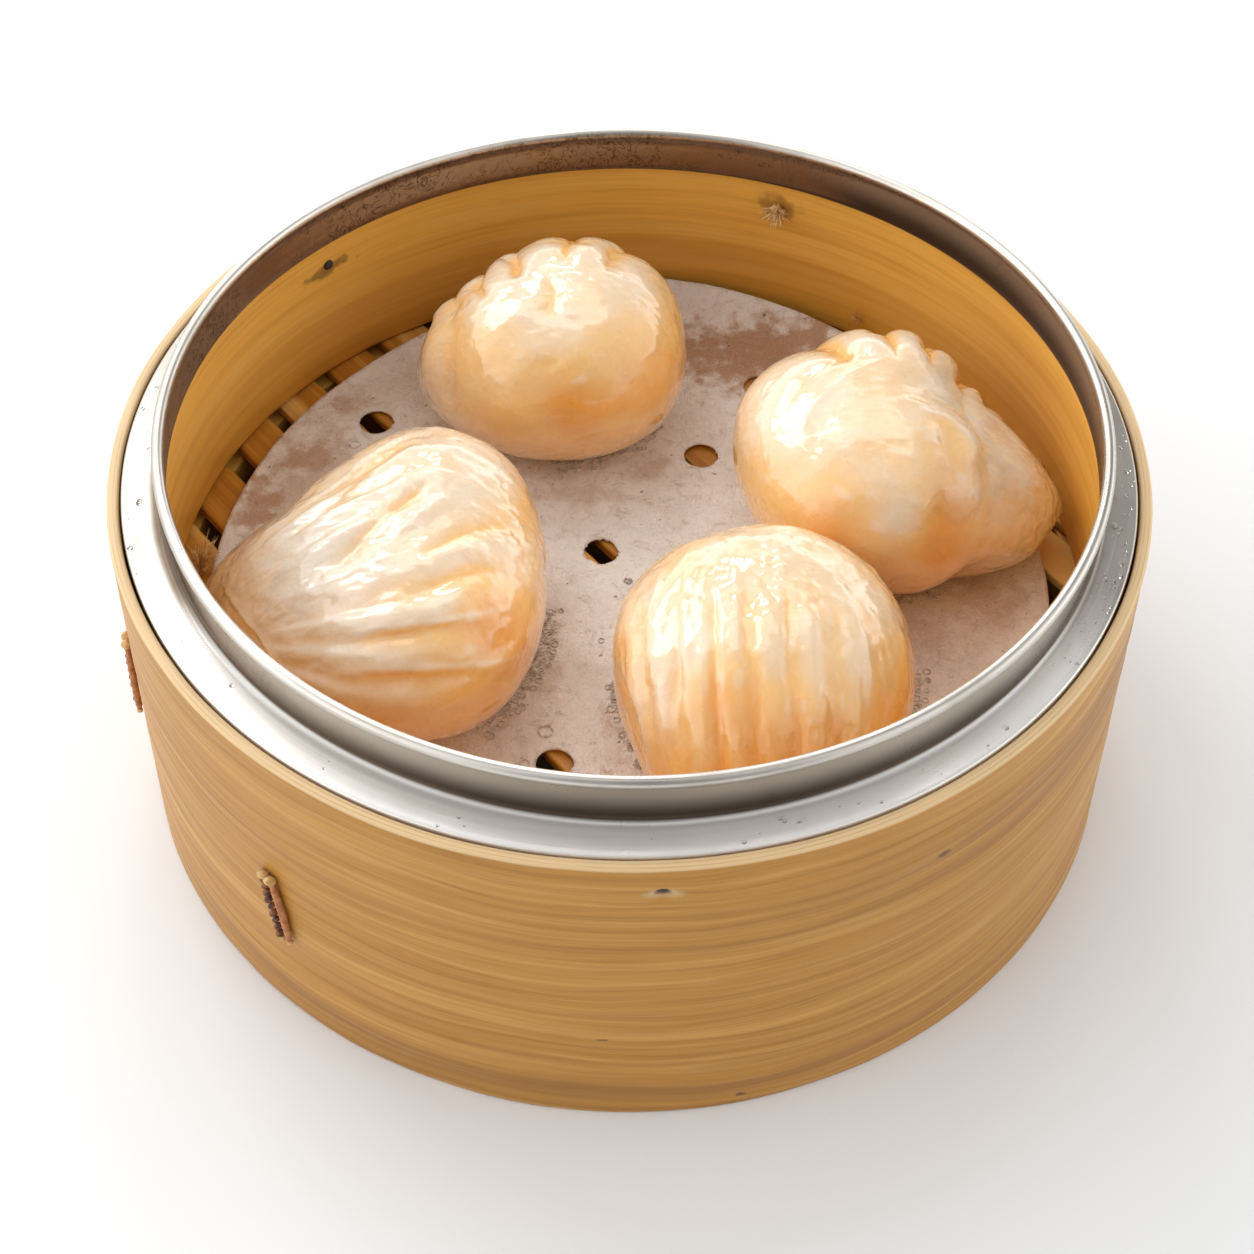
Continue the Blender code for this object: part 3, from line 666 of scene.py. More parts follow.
def inner_wall_material(settings):
    """Inside wall: steamed golden bamboo with painted shade towards its foot by the slats, and dark smears
    round the nail and the peg.
    """
    material, tree, shader = new_material("Inside bamboo")
    place = object_place(tree)
    grain = {
        "Place": object_place(tree, scale=(16.0, 16.0, 520.0)),
        "Dark": opaque(settings.inside_dark),
        "Middle": opaque(settings.inside),
        "Pale": opaque(settings.inside_pale),
        "Bands": 0.55,
    }
    grain = placed_group(tree, grain_group(), grain)
    colour = grain.outputs["Colour"]
    height = add_node(tree, "ShaderNodeSeparateXYZ", {0: place}).outputs[2]
    # Painted shade: the wall darkens towards its foot, where it meets the slats.
    low = times(tree, ranged(tree, height, 52.0 * MM, 34.0 * MM), 0.5)
    colour = blended(tree, low, colour, settings.inside_dark)
    edge = noise(tree, place, 450.0, 3.0, 0.6)
    nail = round_place(NAIL_SMEAR, INNER_RADIUS)
    smear = times(tree, spot(tree, place, edge, nail, (7.0, 7.0, 1.7), 0.45), 0.7)
    colour = blended(tree, smear, colour, (0.16, 0.07, 0.015))
    peg = round_place(PEG_STAIN, INNER_RADIUS)
    stain = times(tree, spot(tree, place, edge, peg, (5.5, 5.5, 3.2), 0.35), 0.6)
    colour = blended(tree, stain, colour, (0.25, 0.10, 0.015))
    tree.links.new(colour, shader.inputs["Base Color"])
    tree.links.new(grain.outputs["Roughness"], shader.inputs["Roughness"])
    tree.links.new(bumped(tree, grain.outputs["Height"], 0.25, 0.0003), shader.inputs["Normal"])
    shader.inputs["Coat Weight"].default_value = 0.3
    shader.inputs["Coat Roughness"].default_value = 0.3
    return material


def slat_material(settings):
    """Floor slats: wet golden bamboo with grain along each slat, paler towards the right, partly as drier
    bamboo and partly as painted light.
    """
    material, tree, shader = new_material("Floor bamboo")
    grain = {
        "Place": object_place(tree, turn=SLAT_TURN, scale=(18.0, 560.0, 560.0)),
        "Dark": opaque(settings.slat_dark),
        "Middle": opaque(settings.slat),
        "Pale": opaque(settings.slat_pale),
        "Bands": 0.7,
    }
    grain = placed_group(tree, grain_group(), grain)
    across = add_node(tree, "ShaderNodeSeparateXYZ", {0: object_place(tree)}).outputs[0]
    # Paler towards the right: partly drier bamboo, partly painted light that lifts the shade beside the
    # wall and the right dumpling.
    dry_and_painted_light = times(tree, ranged(tree, across, 46.0 * MM, 56.0 * MM), 0.9)
    colour = blended(tree, dry_and_painted_light, grain.outputs["Colour"], settings.slat_pale)
    tree.links.new(colour, shader.inputs["Base Color"])
    tree.links.new(grain.outputs["Roughness"], shader.inputs["Roughness"])
    tree.links.new(bumped(tree, grain.outputs["Height"], 0.4, 0.0004), shader.inputs["Normal"])
    return material


def steel_material(settings):
    """Pressed steel: soft streaks round the ring, painted shade on the collar's outside that darkens
    downwards and on the far left and right of the ring, a brown stain with marks inside the collar that
    also paints shade, and a painted reflection on the front of the shoulder.
    """
    material, tree, shader = new_material("Pressed steel")
    place = object_place(tree)
    parts = add_node(tree, "ShaderNodeSeparateXYZ", {0: place})
    across, along, height = parts.outputs
    level = add_node(tree, "ShaderNodeCombineXYZ", {0: across, 1: along}).outputs[0]
    radius = add_node(tree, "ShaderNodeVectorMath", {0: level}, operation="LENGTH").outputs["Value"]
    ring = times(tree, worked(tree, "ADD", radius, height), 700.0)
    slow = {0: times(tree, across, 16.0), 1: times(tree, along, 16.0), 2: ring}
    streaks = noise(tree, add_node(tree, "ShaderNodeCombineXYZ", slow).outputs[0], 1.0, 3.0, 0.65)
    cloud = noise(tree, place, 60.0, 4.0, 0.6)
    colour = blended(tree, ranged(tree, streaks, 0.35, 0.65), settings.dull, settings.bright)
    dull = times(tree, ranged(tree, cloud, 0.5, 0.68), 0.35)
    colour = blended(tree, dull, colour, (0.36, 0.32, 0.27))
    # Painted shade: the steel darkens towards the far left and right of the ring.
    sideways = worked(tree, "ABSOLUTE", across)
    sides = times(tree, ranged(tree, sideways, 64.0 * MM, 78.0 * MM), 0.7)
    colour = blended(tree, sides, colour, (0.36, 0.33, 0.29))
    # Painted shade: the outside of the collar under the bead darkens downwards towards the shoulder,
    # standing in for its dark reflection.
    near_collar = ranged(tree, radius, (COLLAR_INSIDE + 2.7) * MM, (COLLAR_INSIDE + 1.3) * MM)
    past_collar = ranged(tree, radius, (COLLAR_INSIDE - 0.3) * MM, COLLAR_INSIDE * MM)
    outside = times(tree, near_collar, past_collar)
    low = ranged(tree, height, (SHOULDER_TOP + 6.8) * MM, (SHOULDER_TOP + 1.2) * MM)
    painted_collar_shade = blended(tree, low, (0.48, 0.43, 0.37), (0.10, 0.075, 0.055))
    below_bead = ranged(tree, height, (BEAD_HEIGHT - 0.2) * MM, (BEAD_HEIGHT - 1.1) * MM)
    colour = blended(tree, times(tree, outside, below_bead), colour, painted_collar_shade)
    # Inside the collar under the bead: a brown stain, which also serves as painted shade that dims its
    # reflection.
    inside = ranged(tree, radius, (COLLAR_INSIDE + 0.3) * MM, (COLLAR_INSIDE + 0.15) * MM)
    stain_and_shade = times(tree, inside, below_bead)
    colour = blended(tree, times(tree, stain_and_shade, 0.75), colour, (0.36, 0.25, 0.16))
    squiggle = noise(tree, place, 420.0, 4.0, 0.6, 1.2)
    marks = times(tree, ranged(tree, squiggle, 0.46, 0.5), ranged(tree, squiggle, 0.54, 0.5))
    marks = times(tree, times(tree, marks, stain_and_shade), ranged(tree, cloud, 0.42, 0.58))
    colour = blended(tree, marks, colour, (0.13, 0.08, 0.05))
    # Painted reflection: the front of the shoulder is blended towards near-white.
    shoulder = ranged(tree, height, (SHOULDER_TOP + 0.6) * MM, (SHOULDER_TOP + 0.1) * MM)
    front = times(tree, shoulder, ranged(tree, along, -30.0 * MM, -55.0 * MM))
    colour = blended(tree, times(tree, front, 0.7), colour, (0.95, 0.93, 0.90))
    tree.links.new(colour, shader.inputs["Base Color"])
    rough = ranged(tree, cloud, 0.3, 0.7, settings.roughness - 0.05, settings.roughness + 0.07)
    tree.links.new(rough, shader.inputs["Roughness"])
    tree.links.new(bumped(tree, streaks, 0.25, 0.0002), shader.inputs["Normal"])
    # Less metallic at the front of the shoulder, part of the painted reflection there.
    metal = worked(tree, "SUBTRACT", 1.0, times(tree, front, 0.45))
    tree.links.new(metal, shader.inputs["Metallic"])
    return material


def paper_material(settings):
    """Wet paper: fine fibres and grey mottling, brown soaked patches, dark specks."""
    material, tree, shader = new_material("Wet paper")
    place = object_place(tree)
    cloud = noise(tree, place, 55.0, 4.0, 0.6, 0.4)
    mottle = noise(tree, place, 330.0, 4.0, 0.8, 0.6)
    fibre = noise(tree, place, 1900.0, 2.0, 0.7, 0.8)
    wet = settings.paper_wet
    radius = add_node(tree, "ShaderNodeVectorMath", {0: place}, operation="LENGTH").outputs["Value"]
    colour = blended(tree, ranged(tree, mottle, 0.31, 0.48), wet, settings.paper)
    fine = times(tree, ranged(tree, fibre, 0.5, 0.68), 0.5)
    colour = blended(tree, fine, colour, settings.paper_pale)
    soaked = times(tree, ranged(tree, cloud, 0.5, 0.66), 0.3)
    colour = blended(tree, soaked, colour, wet)
    edge_wet = times(tree, ranged(tree, radius, 42.0 * MM, 66.0 * MM), 0.4)
    colour = blended(tree, times(tree, edge_wet, ranged(tree, cloud, 0.3, 0.55)), colour, wet)
    edge = noise(tree, place, 260.0, 3.0, 0.6)
    for centre, reach, strength in PAPER_STAINS:
        mask = spot(tree, place, edge, (*centre, PAPER_TOP), (*reach, 20.0), 0.55)
        colour = blended(tree, times(tree, mask, strength), colour, settings.paper_stain)
    speck = ranged(tree, noise(tree, place, 620.0, 2.0, 0.5, 0.5), 0.71, 0.76)
    colour = blended(tree, times(tree, speck, 0.8), colour, (0.16, 0.10, 0.08))
    tree.links.new(colour, shader.inputs["Base Color"])
    tree.links.new(ranged(tree, mottle, 0.4, 0.6, 0.08, 0.4), shader.inputs["Roughness"])
    height = worked(tree, "ADD", times(tree, mottle, 0.7), times(tree, fibre, 0.3))
    tree.links.new(bumped(tree, height, 0.9, 0.0009), shader.inputs["Normal"])
    return material


# Brown soaked patches of the paper: middle, half sizes and strength.
PAPER_STAINS = (
    ((-66.0, 18.0), (5.0, 9.0), 0.7),
    ((-52.0, 44.0), (5.0, 4.0), 0.5),
    ((-58.0, 30.0), (5.0, 5.0), 0.6),
    ((62.0, -4.0), (8.0, 8.0), 0.3),
    ((24.0, 59.0), (28.0, 12.0), 0.9),
    ((40.0, 40.0), (10.0, 10.0), 0.5),
    ((-20.0, 62.0), (16.0, 8.0), 0.6),
    ((-56.0, 22.0), (12.0, 22.0), 0.45),
    ((4.0, 28.0), (5.0, 4.0), 0.4),
    ((-14.0, -17.0), (4.0, 13.0), 0.3),
    ((-8.0, 21.0), (12.0, 3.0), 0.3),
    ((-1.5, -32.0), (3.0, 10.0), 0.3),
    ((47.0, -12.0), (12.0, 5.0), 0.3),
)


def skin_material(settings):
    """Har gow skin: glossy cream starch, warmer over the filling and in folds, grey where it is thin, with
    painted highlights along fold edges and streak crests.
    """
    material, tree, shader = new_material("Har gow skin")
    place = object_place(tree)
    warm = add_node(tree, "ShaderNodeAttribute", attribute_name="warm").outputs["Fac"]
    thin = add_node(tree, "ShaderNodeAttribute", attribute_name="thin").outputs["Fac"]
    painted_fold_highlight = add_node(tree, "ShaderNodeAttribute", attribute_name="painted_fold_highlight").outputs["Fac"]
    painted_streak_highlight = add_node(tree, "ShaderNodeAttribute", attribute_name="painted_streak_highlight").outputs["Fac"]
    cloud = noise(tree, place, 160.0, 2.0, 0.55)
    fine = noise(tree, place, 700.0, 2.0, 0.6)
    warm = worked(tree, "ADD", warm, times(tree, worked(tree, "SUBTRACT", cloud, 0.5), 0.4))
    colour = blended(tree, ranged(tree, warm, -0.1, 0.55), settings.cream, settings.warm)
    colour = blended(tree, ranged(tree, warm, 0.5, 1.25), colour, settings.filling)
    veil = times(tree, thin, ranged(tree, fine, 0.3, 0.65, 0.75, 1.0))
    colour = blended(tree, veil, colour, settings.thin)
    # Painted highlights: pale lines along the fold edges and the streak crests.
    colour = blended(tree, times(tree, painted_fold_highlight, 0.5), colour, settings.edge)
    colour = blended(tree, times(tree, painted_streak_highlight, 0.45), colour, settings.edge)
    tree.links.new(colour, shader.inputs["Base Color"])
    tree.links.new(ranged(tree, cloud, 0.35, 0.65, 0.2, 0.34), shader.inputs["Roughness"])
    tree.links.new(ranged(tree, cloud, 0.3, 0.55, 0.7, 1.0), shader.inputs["Coat Weight"])
    height = worked(tree, "ADD", times(tree, cloud, 0.5), times(tree, fine, 0.5))
    tree.links.new(bumped(tree, height, 0.35, 0.0006), shader.inputs["Normal"])
    shader.subsurface_method = "BURLEY"
    shader.inputs["Subsurface Weight"].default_value = 0.6
    shader.inputs["Subsurface Radius"].default_value = (1.0, 0.55, 0.3)
    shader.inputs["Subsurface Scale"].default_value = 0.005
    shader.inputs["Coat Roughness"].default_value = 0.05
    shader.inputs["Coat IOR"].default_value = 1.6
    return material


def plain_material(name, dark, pale, roughness, scale):
    """A finish whose colour and roughness vary between two values by fine noise."""
    material, tree, shader = new_material(name)
    fine = noise(tree, object_place(tree), scale, 4.0, 0.6, 0.6)
    colour = blended(tree, ranged(tree, fine, 0.35, 0.65), dark, pale)
    tree.links.new(colour, shader.inputs["Base Color"])
    rough = ranged(tree, fine, 0.3, 0.7, roughness - 0.1, roughness + 0.1)
    tree.links.new(rough, shader.inputs["Roughness"])
    tree.links.new(bumped(tree, fine, 0.4, 0.0003), shader.inputs["Normal"])
    return material


def water_material():
    """Clear water."""
    material, tree, shader = new_material("Water")
    fine = noise(tree, object_place(tree), 300.0)
    tree.links.new(ranged(tree, fine, 0.3, 0.7, 0.02, 0.06), shader.inputs["Roughness"])
    tree.links.new(blended(tree, fine, (0.97, 0.97, 0.97), (1.0, 1.0, 1.0)), shader.inputs["Base Color"])
    shader.inputs["Transmission Weight"].default_value = 1.0
    shader.inputs["IOR"].default_value = 1.33
    return material


# Shapes.


def arc(centre, radius, start, end, steps):
    """Points of (radius, height) on an arc between two angles in degrees."""
    angles = np.radians(np.linspace(start, end, steps))
    return np.column_stack([centre[0] + radius * np.cos(angles), centre[1] + radius * np.sin(angles)])


def line(start, end, steps):
    """Evenly spaced points from a start up to, but not including, an end."""
    share = np.linspace(0.0, 1.0, steps, endpoint=False)[:, None]
    return np.array(start) + share * (np.array(end) - np.array(start))


def turned_grid(profile, sides):
    """A profile of (radius, height) carried round Z: x = r cos t, y = r sin t, z = height."""
    turns = np.arange(sides) * FULL_TURN / sides
    radius = np.broadcast_to(profile[:, :1], (len(profile), sides))
    height = np.broadcast_to(profile[:, 1:], (len(profile), sides))
    return np.stack([radius * np.cos(turns), radius * np.sin(turns), height], axis=-1)


def ring_solid(grid):
    """Points and faces of a closed profile's turned grid."""
    return grid.reshape(-1, 3), [grid_faces(*grid.shape[:2], wrap_rows=True, wrap_columns=True)]


def pushed_out(grid, distance):
    """A grid of points moved straight away from the Z axis by a distance at each point."""
    radius = np.hypot(grid[..., 0], grid[..., 1])
    moved = grid.copy()
    moved[..., 0] *= (radius + distance) / radius
    moved[..., 1] *= (radius + distance) / radius
    return moved


def strip_profile(inside, outside, low, high, edge, rows):
    """The end of a bamboo strip, down its outer side and up its inner side, with rounded edges."""
    corners = (
        (outside - edge, low + edge, 0.0, -90.0),
        (inside + edge, low + edge, -90.0, -180.0),
        (inside + edge, high - edge, 180.0, 90.0),
        (outside - edge, high - edge, 90.0, 0.0),
    )
    sides = (
        ((outside, high - edge), (outside, low + edge), rows),
        ((outside - edge, low), (inside + edge, low), 5),
        ((inside, low + edge), (inside, high - edge), rows),
        ((inside + edge, high), (outside - edge, high), 6),
    )
    profile = []
    for (radius, height, start, end), (first, last, steps) in zip(corners, sides):
        profile.append(line(first, last, steps))
        profile.append(arc((radius, height), edge, start, end, 4)[:-1])
    return np.vstack(profile)


def hoop_surface(inside, outside, low, high, edge, rows, sides, relief, seed):
    """A bamboo hoop: its strip profile turned round Z, pushed out by bands of noise along the fibres."""
    grid = turned_grid(strip_profile(inside, outside, low, high, edge, rows), sides)
    fibres = grid * (1.0 / 16.0, 1.0 / 16.0, 1.0 / 2.6)
    bands = layered_noise(fibres, 1.0, seed)
    return pushed_out(grid, relief * bands)


def add_walls(settings):
    """The outside wall and the two inner hoops."""
    edge = 0.6
    radius = settings.radius / MM
    inside = radius - OUTER_THICKNESS
    relief = settings.relief / MM
    outer = hoop_surface(inside, radius - 0.1, 0.0, settings.height / MM, edge, 64, 640, relief, 3)
    knot = np.array(round_place(KNOT, OUTER_RADIUS))
    away = (outer - knot) / (1.6, 3.0, 0.9)
    outer = pushed_out(outer, -1.2 * np.exp(-(away**2).sum(axis=-1)))
    wall_material = bamboo_wall_material(settings)
    inside_material = inner_wall_material(settings)
    add_piece("outside_wall", *ring_solid(outer), wall_material, ("outer_hoop",), "bamboo")
    inner_outside = INNER_RADIUS + INNER_THICKNESS
    inner_hoops = {
        "inside_wall": ("upper_inner_hoop", SLAT_TOP + GAP, UPPER_WALL_TOP, 30, 480),
        "base_hoop": ("lower_inner_hoop", 0.0, SLAT_BOTTOM - GAP, 20, 360),
    }
    for seed, (name, (node, low, high, rows, sides)) in enumerate(inner_hoops.items(), 21):
        grid = hoop_surface(INNER_RADIUS, inner_outside, low, high, 0.4, rows, sides, 0.08, seed)
        add_piece(name, *ring_solid(grid), inside_material, (node,), "bamboo")


def rim_grid(sides, bead_tube):
    """The pressed steel rim: bead, collar, fillet, shoulder and skirt, turned round Z.

    Its upper part is shifted a little to the right, and it dips at the back by a cosine bump.
    """
    collar_outside = COLLAR_INSIDE + SHEET
    skirt_inside = INNER_RADIUS + INNER_THICKNESS + GAP
    skirt_outside = skirt_inside + SHEET
    shoulder_end = SHOULDER_TOP - SHOULDER_FALL
    corner = 0.5
    bead = (BEAD_RADIUS, BEAD_HEIGHT)
    fillet_middle = (collar_outside + FILLET, SHOULDER_TOP + FILLET)
    under_middle = (collar_outside + FILLET, SHOULDER_TOP + FILLET - SHEET)
    edge_middle = (skirt_outside - corner, shoulder_end - corner)
    profile = np.vstack([
        arc(bead, bead_tube, 90.0, -75.0, 12),
        line((collar_outside, BEAD_HEIGHT - 1.6), (collar_outside, SHOULDER_TOP + FILLET), 8),
        arc(fillet_middle, FILLET, 180.0, 270.0, 8)[:-1],
        line((collar_outside + FILLET, SHOULDER_TOP), (skirt_outside - corner, shoulder_end), 7),
        arc(edge_middle, corner, 90.0, 0.0, 5),
        line((skirt_outside, shoulder_end - 1.0), (skirt_outside, shoulder_end - SKIRT_LENGTH), 4),
        line((skirt_outside, shoulder_end - SKIRT_LENGTH), (skirt_inside, shoulder_end - SKIRT_LENGTH), 2),
        line((skirt_inside, shoulder_end - SKIRT_LENGTH), (skirt_inside, shoulder_end - SHEET), 4),
        line((skirt_inside, shoulder_end - SHEET), (collar_outside + FILLET, SHOULDER_TOP - SHEET), 5),
        arc(under_middle, FILLET + SHEET, 270.0, 180.0, 6),
        line((COLLAR_INSIDE, SHOULDER_TOP + FILLET + 0.4), (COLLAR_INSIDE, BEAD_HEIGHT - 1.5), 8),
        arc(bead, bead_tube, 235.0, 100.0, 12),
    ])
    grid = turned_grid(profile, sides)
    radius = profile[:, :1]
    height = profile[:, 1:]
    free = smooth_step(radius, 82.0, 78.0) * smooth_step(height, 62.0, 66.0)
    turns = np.arange(sides) * FULL_TURN / sides
    back = np.clip(np.sin(turns), 0.0, 1.0) ** 3
    grid[..., 0] += RIM_SHIFT * free
    grid[..., 2] -= RIM_DIP * back * smooth_step(height, 64.0, 73.0)
    wobble = soft_noise(grid, 30.0, 41) * 0.12 * free
    return pushed_out(grid, wobble)


def add_rim(settings):
    """The steel rim."""
    grid = rim_grid(400, settings.bead_radius / MM)
    add_piece("pressed_rim", *ring_solid(grid), steel_material(settings), ("steel_rim",), "steel")


def slat_grid(start, end, drop, seed):
    """One slat: a rounded strip section carried between the round wall's two sides.

    Each point of the section runs along by v times the reach of the wall at its distance across.
    """
    half_thick = (SLAT_TOP - SLAT_BOTTOM) / 2.0
    section = strip_profile(start, end, SLAT_BOTTOM, SLAT_TOP, 0.55, 5)
    along = np.linspace(-1.0, 1.0, 60)[:, None]
    across = np.broadcast_to(section[:, 0], (60, len(section)))
    height = np.broadcast_to(section[:, 1], (60, len(section)))
    reach = np.sqrt(np.maximum(SLAT_END_RADIUS**2 - across**2, 0.0))
    local = np.stack([along * reach, across, height], axis=-1)
    fibres = local * (1.0 / 30.0, 1.0 / 1.6, 1.0)
    upper = smooth_step(height, SLAT_TOP - half_thick, SLAT_TOP)
    local[..., 2] -= upper * (drop + 0.12 * (1.0 + layered_noise(fibres, 1.0, seed, 2)))
    cosine, sine = math.cos(SLAT_TURN), math.sin(SLAT_TURN)
    x = local[..., 0] * cosine - local[..., 1] * sine
    y = local[..., 0] * sine + local[..., 1] * cosine
    return np.stack([x, y, local[..., 2]], axis=-1)


def add_slats(settings):
    """The twelve floor slats, each with its own small drop."""
    material = slat_material(settings)
    edges = [(middle - width / 2.0, middle + width / 2.0) for middle, width in SLAT_GAPS]
    rim = SLAT_END_RADIUS - SLAT_LEAST_WIDTH
    starts = [-rim] + [high for _, high in edges]
    ends = [low for low, _ in edges] + [rim]
    random = np.random.default_rng(31)
    for number, (start, end) in enumerate(zip(starts, ends), 1):
        grid = slat_grid(start, end, random.uniform(0.0, 0.25), 60 + number)
        points, faces = closed_tube(grid)
        add_piece(f"floor_slat_{number:02d}", points, faces, material, (f"slat_{number:02d}",), "slat")


def hole_middles():
    """Middles of the punched holes."""
    middles = []
    for middle_x, middle_y, row_radius, count, first in HOLE_ROWS:
        turns = math.radians(first) + np.arange(count) * FULL_TURN / count
        x = middle_x + row_radius * np.cos(turns)
        y = middle_y + row_radius * np.sin(turns)
        middles.append(np.column_stack([x, y]))
    middles = np.vstack(middles)
    return middles[np.hypot(middles[:, 0], middles[:, 1]) < PAPER_FLAT - HOLE_RADIUS - 1.0]


def paper_edge(turns):
    """Distance of the paper's edge from the axis, and how far it turns up: a bell round the back."""
    away = np.angle(np.exp(1j * (turns - PAPER_RISE_TURN)))
    rise = np.exp(-((away / PAPER_RISE_SPREAD) ** 2))
    circle = np.stack([np.cos(turns), np.sin(turns), np.zeros_like(turns)], axis=-1)
    return PAPER_RADIUS + PAPER_REACH * rise - 0.3 + 0.4 * soft_noise(circle, 0.3, 5), rise


def paper_underside(x, y, wave):
    """Height of the paper's lower face: low waves and fine relief, and rise * share^2 towards its edge."""
    radius = np.hypot(x, y)
    edge, rise = paper_edge(np.arctan2(y, x))
    share = np.clip((radius - PAPER_FLAT) / (edge - PAPER_FLAT), 0.0, 1.0)
    flat = np.stack([x, y, np.zeros_like(x)], axis=-1)
    waves = 0.5 * wave * (0.5 + 0.5 * layered_noise(flat, 14.0, 6, 3)) * smooth_step(radius, 5.0, 20.0)
    return PAPER_LOW + PAPER_RISE * rise * share**2 + waves + 0.1 * layered_noise(flat, 2.4, 9, 2)


def add_paper(settings):
    """The paper: rings of points out to an uneven edge, cut by round holes and turned up at the back.

    A point near a hole's edge is moved on to it, and the triangles inside the hole are left out.
    """
    rings, sides = 110, 440
    hole_radius = settings.hole_radius / MM
    turns = np.arange(sides) * FULL_TURN / sides
    share = np.linspace(0.004, 1.0, rings)[:, None]
    radius = share * paper_edge(turns)[0]
    x = radius * np.cos(turns)
    y = radius * np.sin(turns)
    z = paper_underside(x, y, settings.wave / MM)
    for middle_x, middle_y in hole_middles():
        off_x = x - middle_x
        off_y = y - middle_y
        far = np.hypot(off_x, off_y)
        near = np.abs(far - hole_radius) < 0.42
        scale = np.where(near, hole_radius / np.maximum(far, 0.01), 1.0)
        x = middle_x + off_x * scale
        y = middle_y + off_y * scale
    points = np.stack([x, y, z], axis=-1).reshape(-1, 3)
    quads = grid_faces(rings, sides, wrap_columns=True)
    triangles = np.vstack([quads[:, [0, 1, 2]], quads[:, [0, 2, 3]]])
    centre = np.array([[0.0, 0.0, points[:sides, 2].mean()]])
    ring = np.arange(sides)
    hub = np.stack([np.full(sides, len(points)), ring, (ring + 1) % sides], axis=-1)
    points = np.vstack([points, centre])
    triangles = np.vstack([triangles, hub])
    middle = points[triangles].mean(axis=1)
    kept = np.ones(len(triangles), bool)
    for hole in hole_middles():
        kept &= np.hypot(middle[:, 0] - hole[0], middle[:, 1] - hole[1]) > hole_radius - 0.02
    triangles = triangles[kept]
    used, index = np.unique(triangles, return_inverse=True)
    points = points[used]
    triangles = index.reshape(-1, 3)
    first, second, third = (points[triangles[:, corner]] for corner in range(3))
    if np.cross(second - first, third - first)[:, 2].sum() < 0.0:
        triangles = triangles[:, ::-1]
    material = paper_material(settings)
    nodes = ("paper_liner",)
    paper = add_piece("liner_sheet", points, [triangles], material, nodes, "paper", closed=False)
    wall = paper.modifiers.new("Thickness", "SOLIDIFY")
    wall.thickness = PAPER_THICKNESS * MM
    wall.offset = 1.0


def ball_frame(turn, slope):
    """Three unit vectors: towards a turn and slope in degrees, to its left, and up across it."""
    turn = math.radians(turn)
    slope = math.radians(slope)
    ahead = np.array([math.cos(slope) * math.cos(turn), math.cos(slope) * math.sin(turn), math.sin(slope)])
    left = np.array([-math.sin(turn), math.cos(turn), 0.0])
    return ahead, left, np.cross(ahead, left)


def angle_to(directions, turn, slope):
    """Angle in degrees between each direction and one towards a turn and slope."""
    ahead = ball_frame(turn, slope)[0]
    return np.degrees(np.arccos(np.clip(directions @ ahead, -1.0, 1.0)))


def body_radius(shape, directions):
    """Distance from the middle to the skin: a rounded box of six half lengths, swollen in plan.

    The k-th root of the sum of (direction / half length) to the k gives the plain body;
    cosines of the turn swell it, the tail adds a tapering length, and lobes add round humps.
    """
    x, y, z = directions[..., 0], directions[..., 1], directions[..., 2]
    right, left, back, front, top, base = shape["size"]
    half_x = np.where(x > 0.0, right, left)
    half_y = np.where(y > 0.0, back, front)
    half_z = np.where(z > 0.0, top, base)
    power = shape["roundness"]
    total = (np.abs(x) / half_x) ** power + (np.abs(y) / half_y) ** power + (np.abs(z) / half_z) ** power
    radius = total ** (-1.0 / power)
    turn = np.arctan2(y, x)
    level = x * x + y * y
    for order, (cosine, sine) in enumerate(shape["swell"], 2):
        radius = radius + level * (cosine * np.cos(order * turn) + sine * np.sin(order * turn))
    tail_turn, tail_slope, length, spread, sharpness = shape["tail"]
    share = np.clip(angle_to(directions, tail_turn, tail_slope) / spread, 0.0, 1.0)
    radius = radius + length * (1.0 - share) ** sharpness * (1.0 - 0.25 * share)
    for turn_at, slope_at, height, width in shape.get("lobes", ()):
        radius = radius + height * np.exp(-((angle_to(directions, turn_at, slope_at) / width) ** 2))
    return radius


def band_mask(turns, start, end):
    """1 inside a band of turns in degrees, with soft ends."""
    middle = (start + end) / 2.0
    away = np.abs((turns - middle + 180.0) % 360.0 - 180.0)
    half = (end - start) / 2.0
    return 1.0 - smooth_step(away, half - BAND_END, half)


def pleat_height(place, creases, lean):
    """Height from 0 in a crease to 1 on a pleat, by the share s of the way between two creases.

    The pleat rises as a smooth step up to s = lean and falls as a smooth step from there to 1.
    """
    creases = np.asarray(creases)
    number = np.clip(np.searchsorted(creases, place) - 1, 0, len(creases) - 2)
    share = np.clip((place - creases[number]) / (creases[number + 1] - creases[number]), 0.0, 1.0)
    height = np.where(share < lean, smooth_step(share, 0.0, lean), 1.0 - smooth_step(share, lean, 1.0))
    inside = (place > creases[0]) & (place < creases[-1])
    return np.where(inside, height, 0.0)


